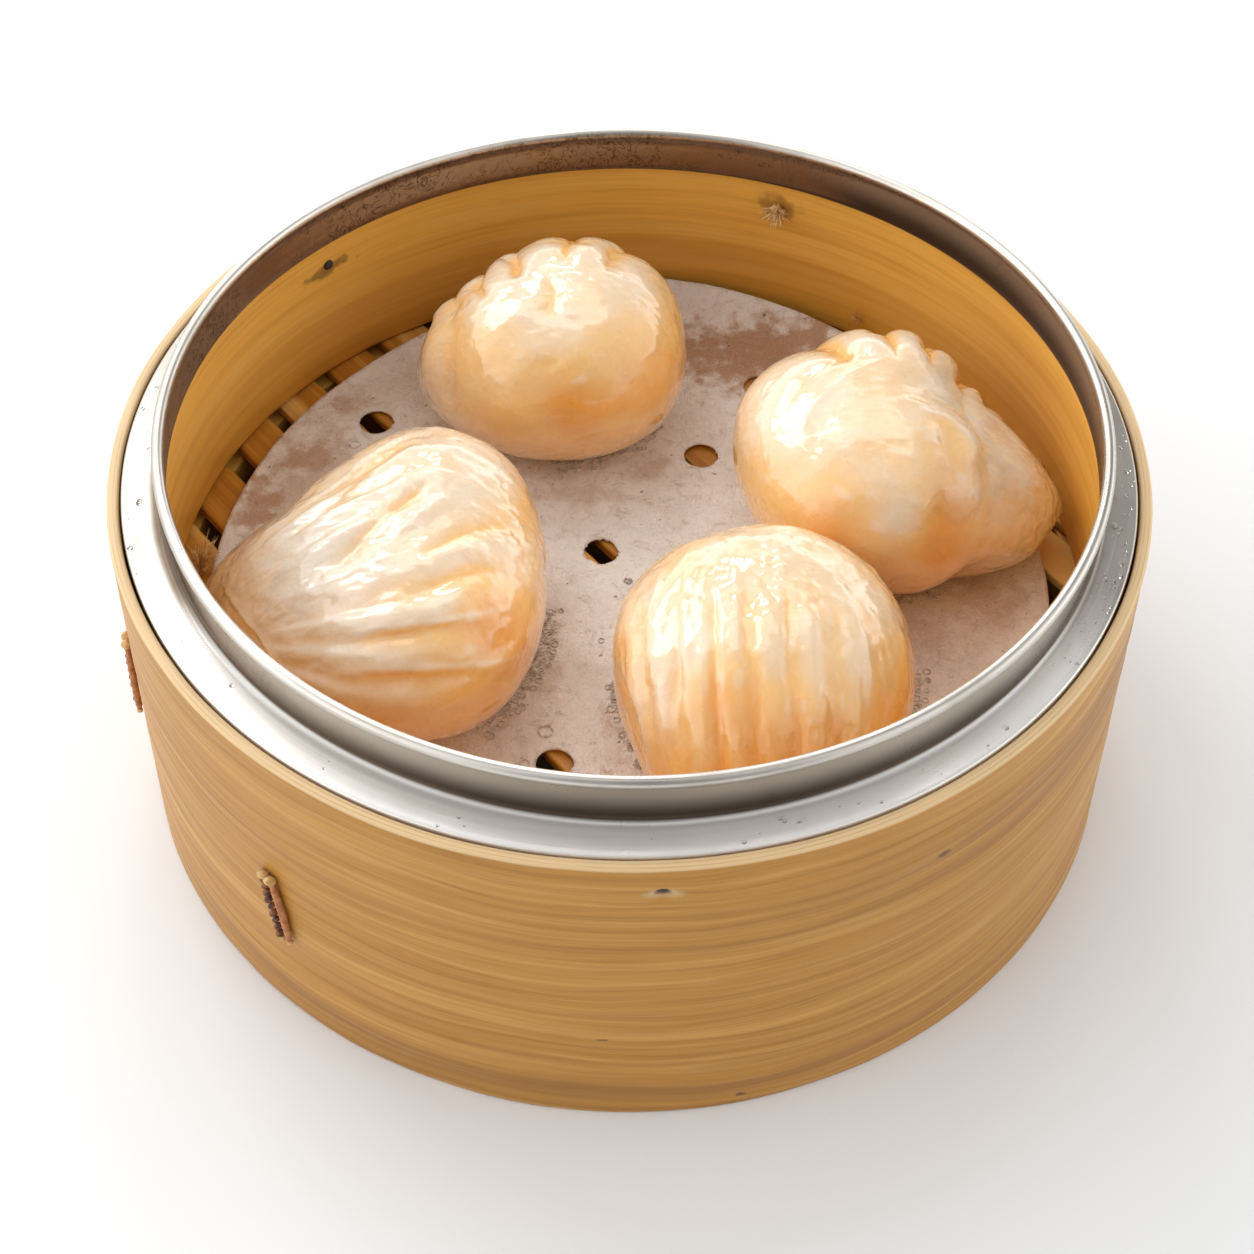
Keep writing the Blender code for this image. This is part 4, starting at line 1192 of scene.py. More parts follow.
def fold_side(directions, path, radius):
    """Distance in millimetres to a path of turns and slopes, and the share of the way along it.

    The path is a soft curve through its points. Right of it the distance is positive.
    """
    stops = np.array([ball_frame(*stop)[0] for stop in path])
    known = np.arange(len(stops))
    fine = np.linspace(0.0, len(stops) - 1.0, 4 * len(stops) - 3)
    soft = np.stack([np.interp(fine, known, stops[:, axis]) for axis in range(3)], axis=-1)
    for _ in range(2):
        soft[1:-1] = (soft[:-2] + 2.0 * soft[1:-1] + soft[2:]) / 4.0
    soft /= np.linalg.norm(soft, axis=1)[:, None]
    nearest = np.full(directions.shape[:-1], 9.0)
    side = np.zeros_like(nearest)
    along = np.zeros_like(nearest)
    for number, (first, second) in enumerate(zip(soft, soft[1:])):
        way = second - first
        share = np.clip((directions - first) @ way / (way @ way), 0.0, 1.0)
        away = directions - first - share[..., None] * way
        distance = np.linalg.norm(away, axis=-1)
        closer = distance < nearest
        nearest = np.where(closer, distance, nearest)
        side = np.where(closer, np.sign(away @ np.cross(way, first)), side)
        along = np.where(closer, (number + share) / (len(soft) - 1.0), along)
    return nearest * side * radius, along


def fold_relief(shape, directions):
    """Height of all the folds: on each side a bell of its own height and reach, blended over the line."""
    relief = np.zeros(directions.shape[:-1])
    painted_fold_highlight = np.zeros_like(relief)
    for path, left, right, left_reach, right_reach, softness in shape["folds"]:
        distance, along = fold_side(directions, path, 24.0)
        fade = smooth_step(along, 0.0, 0.4) * smooth_step(along, 1.0, 0.7)
        on_right = smooth_step(distance, -softness, softness)
        left_bell = left * np.exp(-np.abs(distance / left_reach) ** 1.6)
        right_bell = right * np.exp(-np.abs(distance / right_reach) ** 1.6)
        relief += fade * (left_bell * (1.0 - on_right) + right_bell * on_right)
        # Painted highlight: a pale line along the high edge of each step fold.
        if left * right < 0.0 and softness < 1.0:
            high = np.where(left > right, -1.0, 1.0)
            painted_fold_highlight = np.maximum(painted_fold_highlight, fade * np.exp(-(((distance - softness * high) / 0.4) ** 2)))
    return relief, painted_fold_highlight


def dumpling_surface(shape, settings):
    """Points of one dumpling, in rows from its pole, its masks of warm and thin skin, and masks of painted
    highlights on the folds and streaks.

    radius = body + pleats + folds + streaks along the pleats; the underside is laid flat by
    z = floor + softness * ln(1 + e^((z - floor) / softness)).
    """
    pole = shape["tail"][:2]
    middle = math.radians(90.0)
    for way in ("fan", "upright"):
        if way in shape:
            pole = shape[way]["pole"]
            middle = math.radians(shape[way].get("middle", 90.0))
    from_pole = np.linspace(POLE_HOLE, 180.0 - POLE_HOLE, DUMPLING_ROWS)[:, None]
    even = np.arange(DUMPLING_COLUMNS)[None, :] * FULL_TURN / DUMPLING_COLUMNS
    turns = even - 0.4 * np.sin(even - middle)
    from_pole, turns = np.broadcast_arrays(from_pole, turns)
    ahead, left, up = ball_frame(*pole)
    angle = np.radians(from_pole)
    directions = (
        np.cos(angle)[..., None] * ahead
        + (np.sin(angle) * np.cos(turns))[..., None] * left
        + (np.sin(angle) * np.sin(turns))[..., None] * up
    )
    radius = body_radius(shape, directions)
    turn_degrees = np.degrees(turns)
    if "fan" in shape:
        fan = shape["fan"]
        spread = fan["spread"][0] + fan["spread"][1] * from_pole
        place = ((turn_degrees - fan["middle"] + 180.0) % 360.0 - 180.0) / spread
        fade = smooth_step(from_pole, *fan["fade_in"]) * (1.0 - smooth_step(from_pole, *fan["fade_out"]))
        pleats = fan["depth"] * (2.0 * pleat_height(place, fan["creases"], 0.7) - 1.0) * fade
        pleats = np.where(np.abs(place) < 95.0, pleats, 0.0)
    elif "upright" in shape:
        upright = shape["upright"]
        gather = 1.25 - 0.25 * smooth_step(directions[..., 2], -0.3, 0.5)
        place = -radius * (directions @ left) * gather
        fade = 1.0 - smooth_step(from_pole, *upright["fade_out"])
        pleats = upright["depth"] * (2.0 * pleat_height(place, upright["creases"], 0.7) - 1.0) * fade
    else:
        crest = shape["crest"]
        mask = band_mask(turn_degrees, *crest["band"])
        first, last = crest["creases"][0], crest["creases"][-1]
        number = np.clip(np.searchsorted(crest["creases"], from_pole), 1, len(crest["creases"]) - 1)
        stops = np.asarray(crest["creases"])
        share = np.clip((from_pole - stops[number - 1]) / (stops[number] - stops[number - 1]), 0.0, 1.0)
        rounds = np.sin(np.pi * share) ** 0.6
        beyond = np.clip(np.maximum(first - from_pole, from_pole - last), 0.0, None)
        inside = rounds * (beyond <= 0.0)
        pleats = crest["depth"] * (inside - 0.6 * np.exp(-((beyond / 8.0) ** 2))) * mask
    folds, painted_fold_highlight = fold_relief(shape, directions)
    relief = settings.pleats * (pleats + folds)
    if "groove" in shape:
        angle_at, width, start, end, groove_depth = shape["groove"]
        dent = np.exp(-(((from_pole - angle_at) / width) ** 2))
        relief = relief - groove_depth * dent * band_mask(turn_degrees, start, end)
    place = radius[..., None] * directions
    local = np.stack([place @ ahead * 0.35, place @ left, place @ up], axis=-1)
    away = smooth_step(from_pole, 12.0, 40.0)
    upper = smooth_step(directions[..., 2], -0.3, 0.5)
    patchy = 0.5 + 0.5 * soft_noise(place, 11.0, shape["seed"] + 3)
    fine_lines = layered_noise(local, 1.7, shape["seed"], 2)
    streaks = STREAK_HEIGHT * away * shape["streaks"] * patchy * fine_lines
    rough = shape["roughness"]
    stretched = local * (2.0, 1.0, 1.0)
    dimples = DIMPLE_HEIGHT * rough * upper * layered_noise(stretched, 2.6, shape["seed"] + 20, 2)
    wet = smooth_step(soft_noise(place, 6.0, shape["seed"] + 60), 0.0, 0.5) * upper
    stretched = local * (2.4, 1.0, 1.0)
    puckers = PUCKER_HEIGHT * rough * wet * layered_noise(stretched, 1.3, shape["seed"] + 23, 2)
    # Painted highlight: pale lines on the crests of the streaks on the upper skin.
    painted_streak_highlight = away * upper * patchy * smooth_step(fine_lines, 0.25, 0.6)
    lumps = LUMP_HEIGHT * layered_noise(place, 9.0, shape["seed"] + 40, 2)
    thin = np.zeros_like(radius)
    for turn_at, slope_at, width, strength in shape["thin"]:
        far = angle_to(directions, turn_at, slope_at) / width
        thin = np.maximum(thin, strength * np.exp(-(far**2)))
    crinkle = CRINKLE_HEIGHT * thin * layered_noise(local * 1.6, 2.0, shape["seed"] + 80, 3)
    radius = radius + relief + settings.wrinkles * (streaks + dimples + puckers + lumps + crinkle)
    points = radius[..., None] * directions + np.array(shape["at"])
    above = (points[..., 2] - REST_HEIGHT) / FLOOR_SOFTNESS
    points[..., 2] = REST_HEIGHT + FLOOR_SOFTNESS * np.logaddexp(0.0, above)
    height = (points[..., 2] - REST_HEIGHT) / 30.0
    warm = shape["tone"] + 0.45 * smooth_step(height, 1.0, 0.05)
    for turn_at, slope_at, width, strength in shape["warm"]:
        warm = warm + strength * np.exp(-((angle_to(directions, turn_at, slope_at) / width) ** 2))
    warm = warm + 0.45 * np.clip(-relief / 0.8, 0.0, 1.0) - 0.2 * np.clip(relief / 0.8, 0.0, 1.0)
    warm = warm + 0.3 * layered_noise(place, 12.0, shape["seed"] + 7, 3)
    return points, {"warm": warm, "thin": thin, "painted_fold_highlight": painted_fold_highlight, "painted_streak_highlight": painted_streak_highlight}


def closed_values(grid):
    """Grid values in the order of closed_tube's points, with each end's mean for its middle point."""
    return np.concatenate([grid.ravel(), [grid[0].mean(), grid[-1].mean()]])


def add_dumplings(settings):
    """The four dumplings."""
    material = skin_material(settings)
    for node, shape in DUMPLINGS.items():
        grid, values = dumpling_surface(shape, settings)
        points, faces = closed_tube(grid)
        values = {key: closed_values(mask) for key, mask in values.items()}
        name = node.replace("dumpling", "har_gow")
        add_piece(name, points, faces, material, (node,), "dumpling_skin", values)


def dome(rows, columns):
    """A unit dome on a flat base: rings from the base up to near the top, as a closed grid."""
    angles = np.radians(np.linspace(0.0, 82.0, rows))[:, None]
    turns = np.arange(columns)[None, :] * FULL_TURN / columns
    radius = np.cos(angles)
    grid = (radius * np.cos(turns), radius * np.sin(turns), np.sin(angles))
    return closed_tube(np.stack(np.broadcast_arrays(*grid), axis=-1))


def many_domes(places, normals, sizes, flatness, rows, columns):
    """One dome for each place, standing along its normal, sized, and flattened by a share."""
    unit, faces = dome(rows, columns)
    side = np.cross(normals, (0.31, 0.95, 0.02))
    side /= np.linalg.norm(side, axis=1)[:, None]
    across = np.cross(normals, side)
    scaled = unit * (1.0, 1.0, flatness)
    points = (
        places[:, None, :]
        + sizes[:, None, None] * (
            scaled[None, :, 0:1] * side[:, None, :]
            + scaled[None, :, 1:2] * across[:, None, :]
            + scaled[None, :, 2:3] * normals[:, None, :]
        )
    )
    starts = np.arange(len(places))[:, None, None] * len(unit)
    groups = [(group[None] + starts).reshape(-1, group.shape[1]) for group in faces]
    return points.reshape(-1, 3), groups


def many_rings(places, sizes, columns, sides):
    """One level ring for each place: the film of a bubble, thick at an eighth of its radius."""
    turns = np.arange(columns) * FULL_TURN / columns
    around = np.arange(sides)[:, None] * FULL_TURN / sides
    radius = 1.0 + 0.13 * np.cos(around)
    height = np.broadcast_to(0.25 * np.sin(around), (sides, columns))
    unit = np.stack([radius * np.cos(turns), radius * np.sin(turns), height], axis=-1).reshape(-1, 3)
    faces = grid_faces(sides, columns, wrap_rows=True, wrap_columns=True)
    points = places[:, None, :] + sizes[:, None, None] * unit[None]
    starts = np.arange(len(places))[:, None, None] * len(unit)
    return points.reshape(-1, 3), [(faces[None] + starts).reshape(-1, 4)]


def foot_outline(shape, turns):
    """Level distance from a dumpling's middle to where the paper comes out from behind it.

    Each point of the skin is carried along the camera's line of sight down to the paper; of the
    points carried into one degree of turn, the farthest counts.
    """
    slopes = np.radians(np.linspace(-70.0, 85.0, 180))[:, None]
    around = np.radians(np.arange(0.0, 360.0, 0.5))[None, :]
    cosine = np.cos(slopes)
    directions = (cosine * np.cos(around), cosine * np.sin(around), np.sin(slopes))
    directions = np.stack(np.broadcast_arrays(*directions), axis=-1)
    middle = np.array(shape["at"])
    skin = body_radius(shape, directions)[..., None] * directions + middle
    skin = skin[skin[..., 2] > REST_HEIGHT]
    eye = np.array(CAMERA_PLACE) / MM
    share = (eye[2] - REST_HEIGHT) / (eye[2] - skin[:, 2])
    shadow = eye[:2] + (skin[:, :2] - eye[:2]) * share[:, None] - middle[:2]
    degree = np.degrees(np.arctan2(shadow[:, 1], shadow[:, 0])).astype(int) % 360
    outline = np.zeros(360)
    np.maximum.at(outline, degree, np.hypot(*shadow.T))
    return np.interp(turns, np.arange(360), outline, period=360.0)


# Loose bubbles on the paper: middle and radius.
LOOSE_BUBBLES = (((-50.0, 33.5), 1.0), ((-13.3, -34.2), 1.2), ((-16.5, -41.0), 0.8), ((-4.5, -14.0), 0.5))

# Foam: dumpling, turns between which it gathers, number of bubbles, least gap and spread outwards.
FOAM = (
    ("dumpling_back_left", 262.0, 300.0, 34, 0.0, 3.0),
    ("dumpling_back_left", 300.0, 352.0, 26, 0.0, 2.0),
    ("dumpling_front_left", 330.0, 378.0, 85, 0.0, 2.8),
    ("dumpling_front_left", 296.0, 330.0, 32, 0.0, 3.0),
    ("dumpling_front_right", 160.0, 205.0, 34, 0.0, 1.4),
    ("dumpling_front_right", 350.0, 385.0, 26, 0.0, 2.2),
    ("dumpling_right", 180.0, 230.0, 38, 0.0, 1.8),
    ("dumpling_right", 268.0, 312.0, 36, 0.0, 3.2),
)


def add_foam(settings):
    """Small bubbles on the wet paper along the foot of each dumpling."""
    random = np.random.default_rng(71)
    places = []
    sizes = []
    for name, start, end, count, gap, spread in FOAM:
        shape = DUMPLINGS[name]
        turns = random.uniform(start, end, count)
        size = settings.bubble_size / MM * (0.55 + 0.45 * random.random(count) ** 2.5)
        reach = foot_outline(shape, turns) + gap + spread * random.random(count) ** 2.0
        angle = np.radians(turns)
        x = shape["at"][0] + reach * np.cos(angle)
        y = shape["at"][1] + reach * np.sin(angle)
        places.append(np.column_stack([x, y]))
        sizes.append(size)
    places.append(np.array([middle for middle, _ in LOOSE_BUBBLES]))
    sizes.append(np.array([radius for _, radius in LOOSE_BUBBLES]))
    places = np.vstack(places)
    sizes = np.concatenate(sizes)
    far = np.ones(len(places), bool)
    for hole in hole_middles():
        far &= np.hypot(*(places - hole).T) > HOLE_RADIUS + 0.3
    places = places[far]
    sizes = sizes[far]
    height = paper_underside(*places.T, settings.wave / MM) + PAPER_THICKNESS + 0.12
    places = np.column_stack([places, height])
    points, faces = many_rings(places, sizes, 12, 6)
    # Foam colours: a brownish film, with painted shade for the bubbles' dark outlines and painted
    # highlights for their glints.
    foam_material = plain_material("Foam", settings.foam_dark_and_shade, settings.foam_pale_and_glint, 0.2, 900.0)
    add_piece("foam_bubbles", points, faces, foam_material, slot="paper")


def add_drops(settings):
    """Water drops on the steel shoulder, most of them at the right."""
    random = np.random.default_rng(81)
    count = settings.drops
    turns = np.concatenate([
        random.uniform(-35.0, 35.0, int(count * 0.7)),
        random.uniform(150.0, 215.0, int(count * 0.15)),
        random.uniform(-140.0, -35.0, int(count * 0.15)),
    ])
    radius = random.uniform(78.4, 82.0, len(turns))
    size = settings.drop_size / MM * (0.25 + 0.75 * random.random(len(turns)) ** 2.5)
    angle = np.radians(turns)
    height = SHOULDER_TOP - SHOULDER_FALL * (radius - 77.6) / 4.5
    places = np.column_stack([radius * np.cos(angle), radius * np.sin(angle), height])
    up = np.tile([0.0, 0.0, 1.0], (len(places), 1))
    points, faces = many_domes(places, up, size, 0.45, 7, 16)
    add_piece("rim_drops", points, faces, water_material(), slot="steel")


def tube_grid(path, radii, sides):
    """Rings of points round a path: each ring stands across the path, with its own radius."""
    path = np.asarray(path, float)
    way = np.gradient(path, axis=0)
    way /= np.linalg.norm(way, axis=1)[:, None]
    side = np.cross(way, (0.12, 0.31, 0.94))
    side /= np.linalg.norm(side, axis=1)[:, None]
    across = np.cross(way, side)
    turns = np.arange(sides) * FULL_TURN / sides
    cosine = np.cos(turns)[None, :, None]
    sine = np.sin(turns)[None, :, None]
    ring = cosine * side[:, None, :] + sine * across[:, None, :]
    return path[:, None, :] + np.asarray(radii)[:, None, None] * ring


# Cane lashings: turn in degrees and middle height, then sizes shared by both.
LASHINGS = {"front": (-129.4, 28.6), "left": (-168.0, 28.6)}
LASHING_LENGTH = 14.4
LASHING_LEAN = math.radians(9.0)
LASHING_SPACING = 2.3
STRAND_RADIUS = 0.62
STITCHES = 9
# Pale curls of a lashing: share along it, distance sideways, length and thickness.
CURLS = (
    (1.02, -1.0, 1.9, 0.75), (1.0, 0.55, 1.7, 0.85), (0.98, -0.2, 1.4, 0.6),
    (0.0, -0.7, 1.0, 0.5), (-0.01, 0.6, 1.1, 0.4),
)


def lashing_points(turn, middle, sideways, outwards, share):
    """Points on a leaning lashing, at shares from 0 at its foot to 1 at its top."""
    along = (np.asarray(share) - 0.5) * LASHING_LENGTH
    off = sideways - along * math.sin(LASHING_LEAN)
    angle = math.radians(turn) + off / OUTER_RADIUS
    radius = OUTER_RADIUS + outwards
    height = middle + along * math.cos(LASHING_LEAN)
    return np.stack([radius * np.cos(angle), radius * np.sin(angle), height], axis=-1)


def add_lashings(settings):
    """Each lashing: a smooth cane strand, a twisted row of dark stitches, and pale curls at its ends."""
    strand_colours = (settings.strand_dark, settings.strand_pale)
    stitch_colours = (settings.stitch_dark, settings.stitch_pale)
    strand_material = plain_material("Cane strand", *strand_colours, 0.42, 900.0)
    stitch_material = plain_material("Dark stitches", *stitch_colours, 0.5, 1100.0)
    curl_material = plain_material("Pale cane", settings.curl_dark, settings.curl_pale, 0.5, 900.0)
    share = np.linspace(0.0, 1.0, 40)
    for number, (place, (turn, middle)) in enumerate(LASHINGS.items()):
        random = np.random.default_rng(90 + number)
        bow = 0.35 * np.sin(np.pi * share)
        half = LASHING_SPACING / 2.0
        strand = settings.strand_radius / MM
        path = lashing_points(turn, middle, half - 0.6 + bow, strand + 0.1, share)
        radii = strand * (1.0 - 0.35 * np.abs(2.0 * share - 1.0) ** 4)
        points, faces = closed_tube(tube_grid(path, radii, 14))
        name = f"cane_strand_{place}"
        add_piece(name, points, faces, strand_material, (f"lashing_strand_{place}",), "cane")
        parts = []
        for stitch in range(STITCHES):
            start = (stitch + 0.1) / STITCHES
            end = (stitch + 0.95) / STITCHES
            run = np.linspace(start, end, 14)
            local = np.linspace(-1.0, 1.0, 14)
            sideways = -half + 0.5 * local + random.uniform(-0.12, 0.12)
            outwards = 0.35 + 0.65 * np.cos(local * 1.4)
            path = lashing_points(turn, middle, sideways, outwards, run)
            radii = random.uniform(0.5, 0.68) * (1.0 - 0.45 * np.abs(local) ** 3)
            parts.append(closed_tube(tube_grid(path, radii, 10)))
        points, faces = joined(parts)
        name = f"cane_stitches_{place}"
        add_piece(name, points, faces, stitch_material, (f"lashing_stitches_{place}",), "cane_stitches")
        parts = []
        for at, side, length, thick in CURLS:
            local = np.linspace(-1.0, 1.0, 12)
            sideways = side + 0.5 * length * local
            outwards = 0.15 + 0.75 * np.cos(local * 1.4)
            path = lashing_points(turn, middle, sideways, outwards, at + 0.02 * local)
            radii = thick * (1.0 - 0.6 * np.abs(local) ** 3)
            parts.append(closed_tube(tube_grid(path, radii, 10)))
        points, faces = joined(parts)
        add_piece(f"cane_curls_{place}", points, faces, curl_material, slot="cane")


# Frayed bamboo: node, turn, height and distance inside the wall, way that it points (inwards,
# along, up), length, width of the bundle, number of fibres.
FRAYED = {
    "peg_fibres": ("wall_peg", (69.4, 58.2, 0.4), (1.0, 0.0, -0.25), 3.2, 3.4, 26),
    "tuft_fibres": ("slat_tuft", (178.8, 34.2, 3.6), (0.3, -0.1, 1.0), 7.4, 3.6, 26),
    "splinter_fibres_back": ("wall_splinter_back", (56.1, 38.4, 0.8), (0.71, 0.07, 1.1), 4.4, 1.0, 7),
    "splinter_fibres_right": ("wall_splinter_right", (17.6, 38.7, 0.7), (0.4, 0.2, 1.0), 3.2, 1.2, 7),
}


def add_frayed(settings):
    """Frayed ends: bundles of tapering fibres that bend apart from a shared root."""
    material = plain_material("Frayed bamboo", settings.fibre_dark, settings.fibre_pale, 0.6, 700.0)
    for number, (name, (node, place, lean, length, width, fibres)) in enumerate(FRAYED.items()):
        random = np.random.default_rng(110 + number)
        turn, height, off_wall = place
        angle = math.radians(turn)
        inwards = np.array([-math.cos(angle), -math.sin(angle), 0.0])
        sideways = np.array([-math.sin(angle), math.cos(angle), 0.0])
        ways = np.array([inwards, sideways, [0.0, 0.0, 1.0]])
        base = (off_wall - INNER_RADIUS) * inwards + np.array([0.0, 0.0, height])
        out = np.array(lean) @ ways
        out /= np.linalg.norm(out)
        side = np.cross(out, sideways + 0.01)
        side /= np.linalg.norm(side)
        across = np.cross(out, side)
        parts = []
        share = np.linspace(0.0, 1.0, 9)[:, None]
        for _ in range(fibres):
            spin = random.uniform(0.0, FULL_TURN)
            radial = math.cos(spin) * side + math.sin(spin) * across
            root = base + radial * width * 0.5 * random.uniform(0.0, 0.7)
            reach = length * random.uniform(0.55, 1.0)
            flare = width * random.uniform(0.2, 0.9)
            path = root + share * out * reach + share**2 * radial * flare
            radii = random.uniform(0.2, 0.4) * (1.0 - share[:, 0] ** 1.6 * 0.93)
            parts.append(closed_tube(tube_grid(path, radii, 6)))
        points, faces = joined(parts)
        add_piece(name, points, faces, material, (node,), "frayed_bamboo")


def add_nail(settings):
    """The small black nail head in the inner wall: a flattened dome."""
    place = np.array([round_place(NAIL, INNER_RADIUS - 0.05)])
    normal = -place * (1.0, 1.0, 0.0)
    normal /= np.linalg.norm(normal)
    points, faces = many_domes(place, normal, np.array([settings.nail_radius / MM]), 0.5, 6, 16)
    material = plain_material("Nail iron", (0.01, 0.008, 0.006), (0.05, 0.035, 0.025), 0.5, 900.0)
    add_piece("nail_head", points, faces, material)


# Studio.


FLOOR_HALF = 3.0
# Lights: size in metres, turn and slope of the way towards it, and its distance in metres.
LIGHTS = {
    "key_softbox": ((0.5, 0.3), (132.0, 41.0), 1.0),
    "key_core": ((0.22, 0.1), (96.0, 38.0), 1.0),
    "top_softbox": ((0.8, 0.5), (100.0, 60.0), 1.1),
}


def add_studio(settings):
    """A pale floor, two soft lights at the back, one overhead, the room's light and the camera."""
    scene = bpy.context.scene
    scene.view_settings.view_transform = "Standard"
    scene.view_settings.look = "None"
    corners = ((-1.0, -1.0, 0.0), (1.0, -1.0, 0.0), (1.0, 1.0, 0.0), (-1.0, 1.0, 0.0))
    corners = FLOOR_HALF * np.array(corners)
    mesh = bpy.data.meshes.new("studio_floor")
    mesh.from_pydata(corners.tolist(), [], [(0, 1, 2, 3)])
    material, tree, shader = new_material("Studio floor")
    tone = ranged(tree, noise(tree, object_place(tree), 3.0), 0.0, 1.0, 0.99, 1.01)
    floor_colour = {0: tuple(settings.floor), 3: tone}
    floor_colour = add_node(tree, "ShaderNodeVectorMath", floor_colour, operation="SCALE").outputs[0]
    tree.links.new(floor_colour, shader.inputs["Base Color"])
    shader.inputs["Roughness"].default_value = 0.35
    mesh.materials.append(material)
    floor = bpy.data.objects.new("studio_floor", mesh)
    scene.collection.objects.link(floor)
    add_light("key_softbox", settings.key_power)
    add_light("key_core", settings.core_power)
    add_light("top_softbox", settings.top_power)
    world = bpy.data.worlds.new("Studio")
    world.use_nodes = True
    world.cycles.sampling_method = "NONE"
    tree = world.node_tree
    tree.nodes["Background"].inputs["Strength"].default_value = 1.0
    way = add_node(tree, "ShaderNodeTexCoord").outputs["Generated"]
    parts = add_node(tree, "ShaderNodeSeparateXYZ", {0: way})
    across, along, height = parts.outputs
    front = blended(tree, ranged(tree, height, 0.5, 0.75), settings.front_light, settings.upper_light)
    room = blended(tree, ranged(tree, along, 0.25, -0.25), settings.back_light, front)
    room = blended(tree, ranged(tree, across, -0.25, -0.9), room, settings.left_light)
    room = blended(tree, ranged(tree, across, 0.45, 0.8), room, settings.right_light)
    ways = {0: way, 1: (0.0, -0.62, 0.78)}
    near_camera = add_node(tree, "ShaderNodeVectorMath", ways, operation="DOT_PRODUCT").outputs["Value"]
    room = blended(tree, ranged(tree, near_camera, 0.955, 0.985), room, settings.camera_side)
    low = times(tree, ranged(tree, height, 0.5, 0.25), ranged(tree, along, -0.3, 0.2))
    room = blended(tree, low, room, settings.horizon_light)
    room = blended(tree, ranged(tree, height, 0.1, 0.03), room, (1.0, 0.99, 0.98))
    tree.links.new(room, tree.nodes["Background"].inputs["Color"])
    scene.world = world
    data = bpy.data.cameras.new("Camera")
    data.lens = CAMERA_LENS
    data.sensor_width = 36.0
    data.clip_start = 0.01
    camera = bpy.data.objects.new("Camera", data)
    camera.location = CAMERA_PLACE
    camera.rotation_euler = tuple(math.radians(angle) for angle in CAMERA_TURNS)
    scene.collection.objects.link(camera)
    scene.camera = camera


def add_light(name, power):
    """A rectangular soft light at a turn and slope from the steamer, facing it."""
    size, towards, distance = LIGHTS[name]
    data = bpy.data.lights.new(name, "AREA")
    data.shape = "RECTANGLE"
    data.size, data.size_y = size
    data.energy = power
    lamp = bpy.data.objects.new(name, data)
    way = ball_frame(*towards)[0]
    target = np.array([0.0, 0.0, 0.04])
    lamp.location = tuple(target + way * distance)
    facing = Vector(-way)
    lamp.rotation_euler = facing.to_track_quat("-Z", "Y").to_euler()
    bpy.context.scene.collection.objects.link(lamp)


def length_setting(name, description, default):
    """A length in metres."""
    return bpy.props.FloatProperty(
        name=name, description=description, default=default, min=0.0, precision=5, unit="LENGTH"
    )


def share_setting(name, description, default):
    """A share from 0 to 1."""
    return bpy.props.FloatProperty(
        name=name, description=description, default=default, min=0.0, max=1.0, subtype="FACTOR"
    )


def power_setting(name, description, default):
    """A light's power in watts."""
    return bpy.props.FloatProperty(
        name=name, description=description, default=default, min=0.0, unit="POWER"
    )


def colour_setting(name, description, default):
    """A colour, or the strength of a light for each primary colour."""
    return bpy.props.FloatVectorProperty(
        name=name, description=description, default=default, min=0.0, subtype="COLOR", size=3
    )


class WallSettings(bpy.types.PropertyGroup):
    """Sizes and colours of the bamboo walls."""

    radius: length_setting("Radius", "Outside radius of the outside wall", OUTER_RADIUS * MM)
    height: length_setting("Height", "Height of the outside wall", WALL_HEIGHT * MM)
    relief: length_setting("Relief", "Height of the fibre bands of the outside wall", 0.16 * MM)
    middle: colour_setting("Outside", "Outside wall", (0.51, 0.23, 0.022))
    dark: colour_setting("Dark outside", "Dark fibres of the outside wall", (0.33, 0.13, 0.01))
    pale: colour_setting("Pale outside", "Pale fibres of the outside wall", (0.72, 0.39, 0.085))
    inside: colour_setting("Inside", "Inside wall", (0.88, 0.465, 0.07))
    # Dark inside also paints the shade low down the inside wall.
    inside_dark: colour_setting("Dark inside", "Wet fibres of the inside wall", (0.66, 0.29, 0.03))
    inside_pale: colour_setting("Pale inside", "Pale fibres of the inside wall", (0.92, 0.55, 0.15))


class RimSettings(bpy.types.PropertyGroup):
    """Sizes and colours of the pressed steel rim and the drops on it."""

    bead_radius: length_setting("Bead", "Radius of the bead's tube", BEAD_TUBE * MM)
    bright: colour_setting("Steel", "Bright steel", (0.76, 0.72, 0.66))
    dull: colour_setting("Dull steel", "Dull streaks of the steel", (0.58, 0.54, 0.49))
    roughness: share_setting("Roughness", "Roughness of the steel", 0.3)
    drops: bpy.props.IntProperty(
        name="Drops", description="Number of water drops", default=170, min=10, max=600
    )
    drop_size: length_setting("Drop size", "Radius of the largest drop", 0.56 * MM)


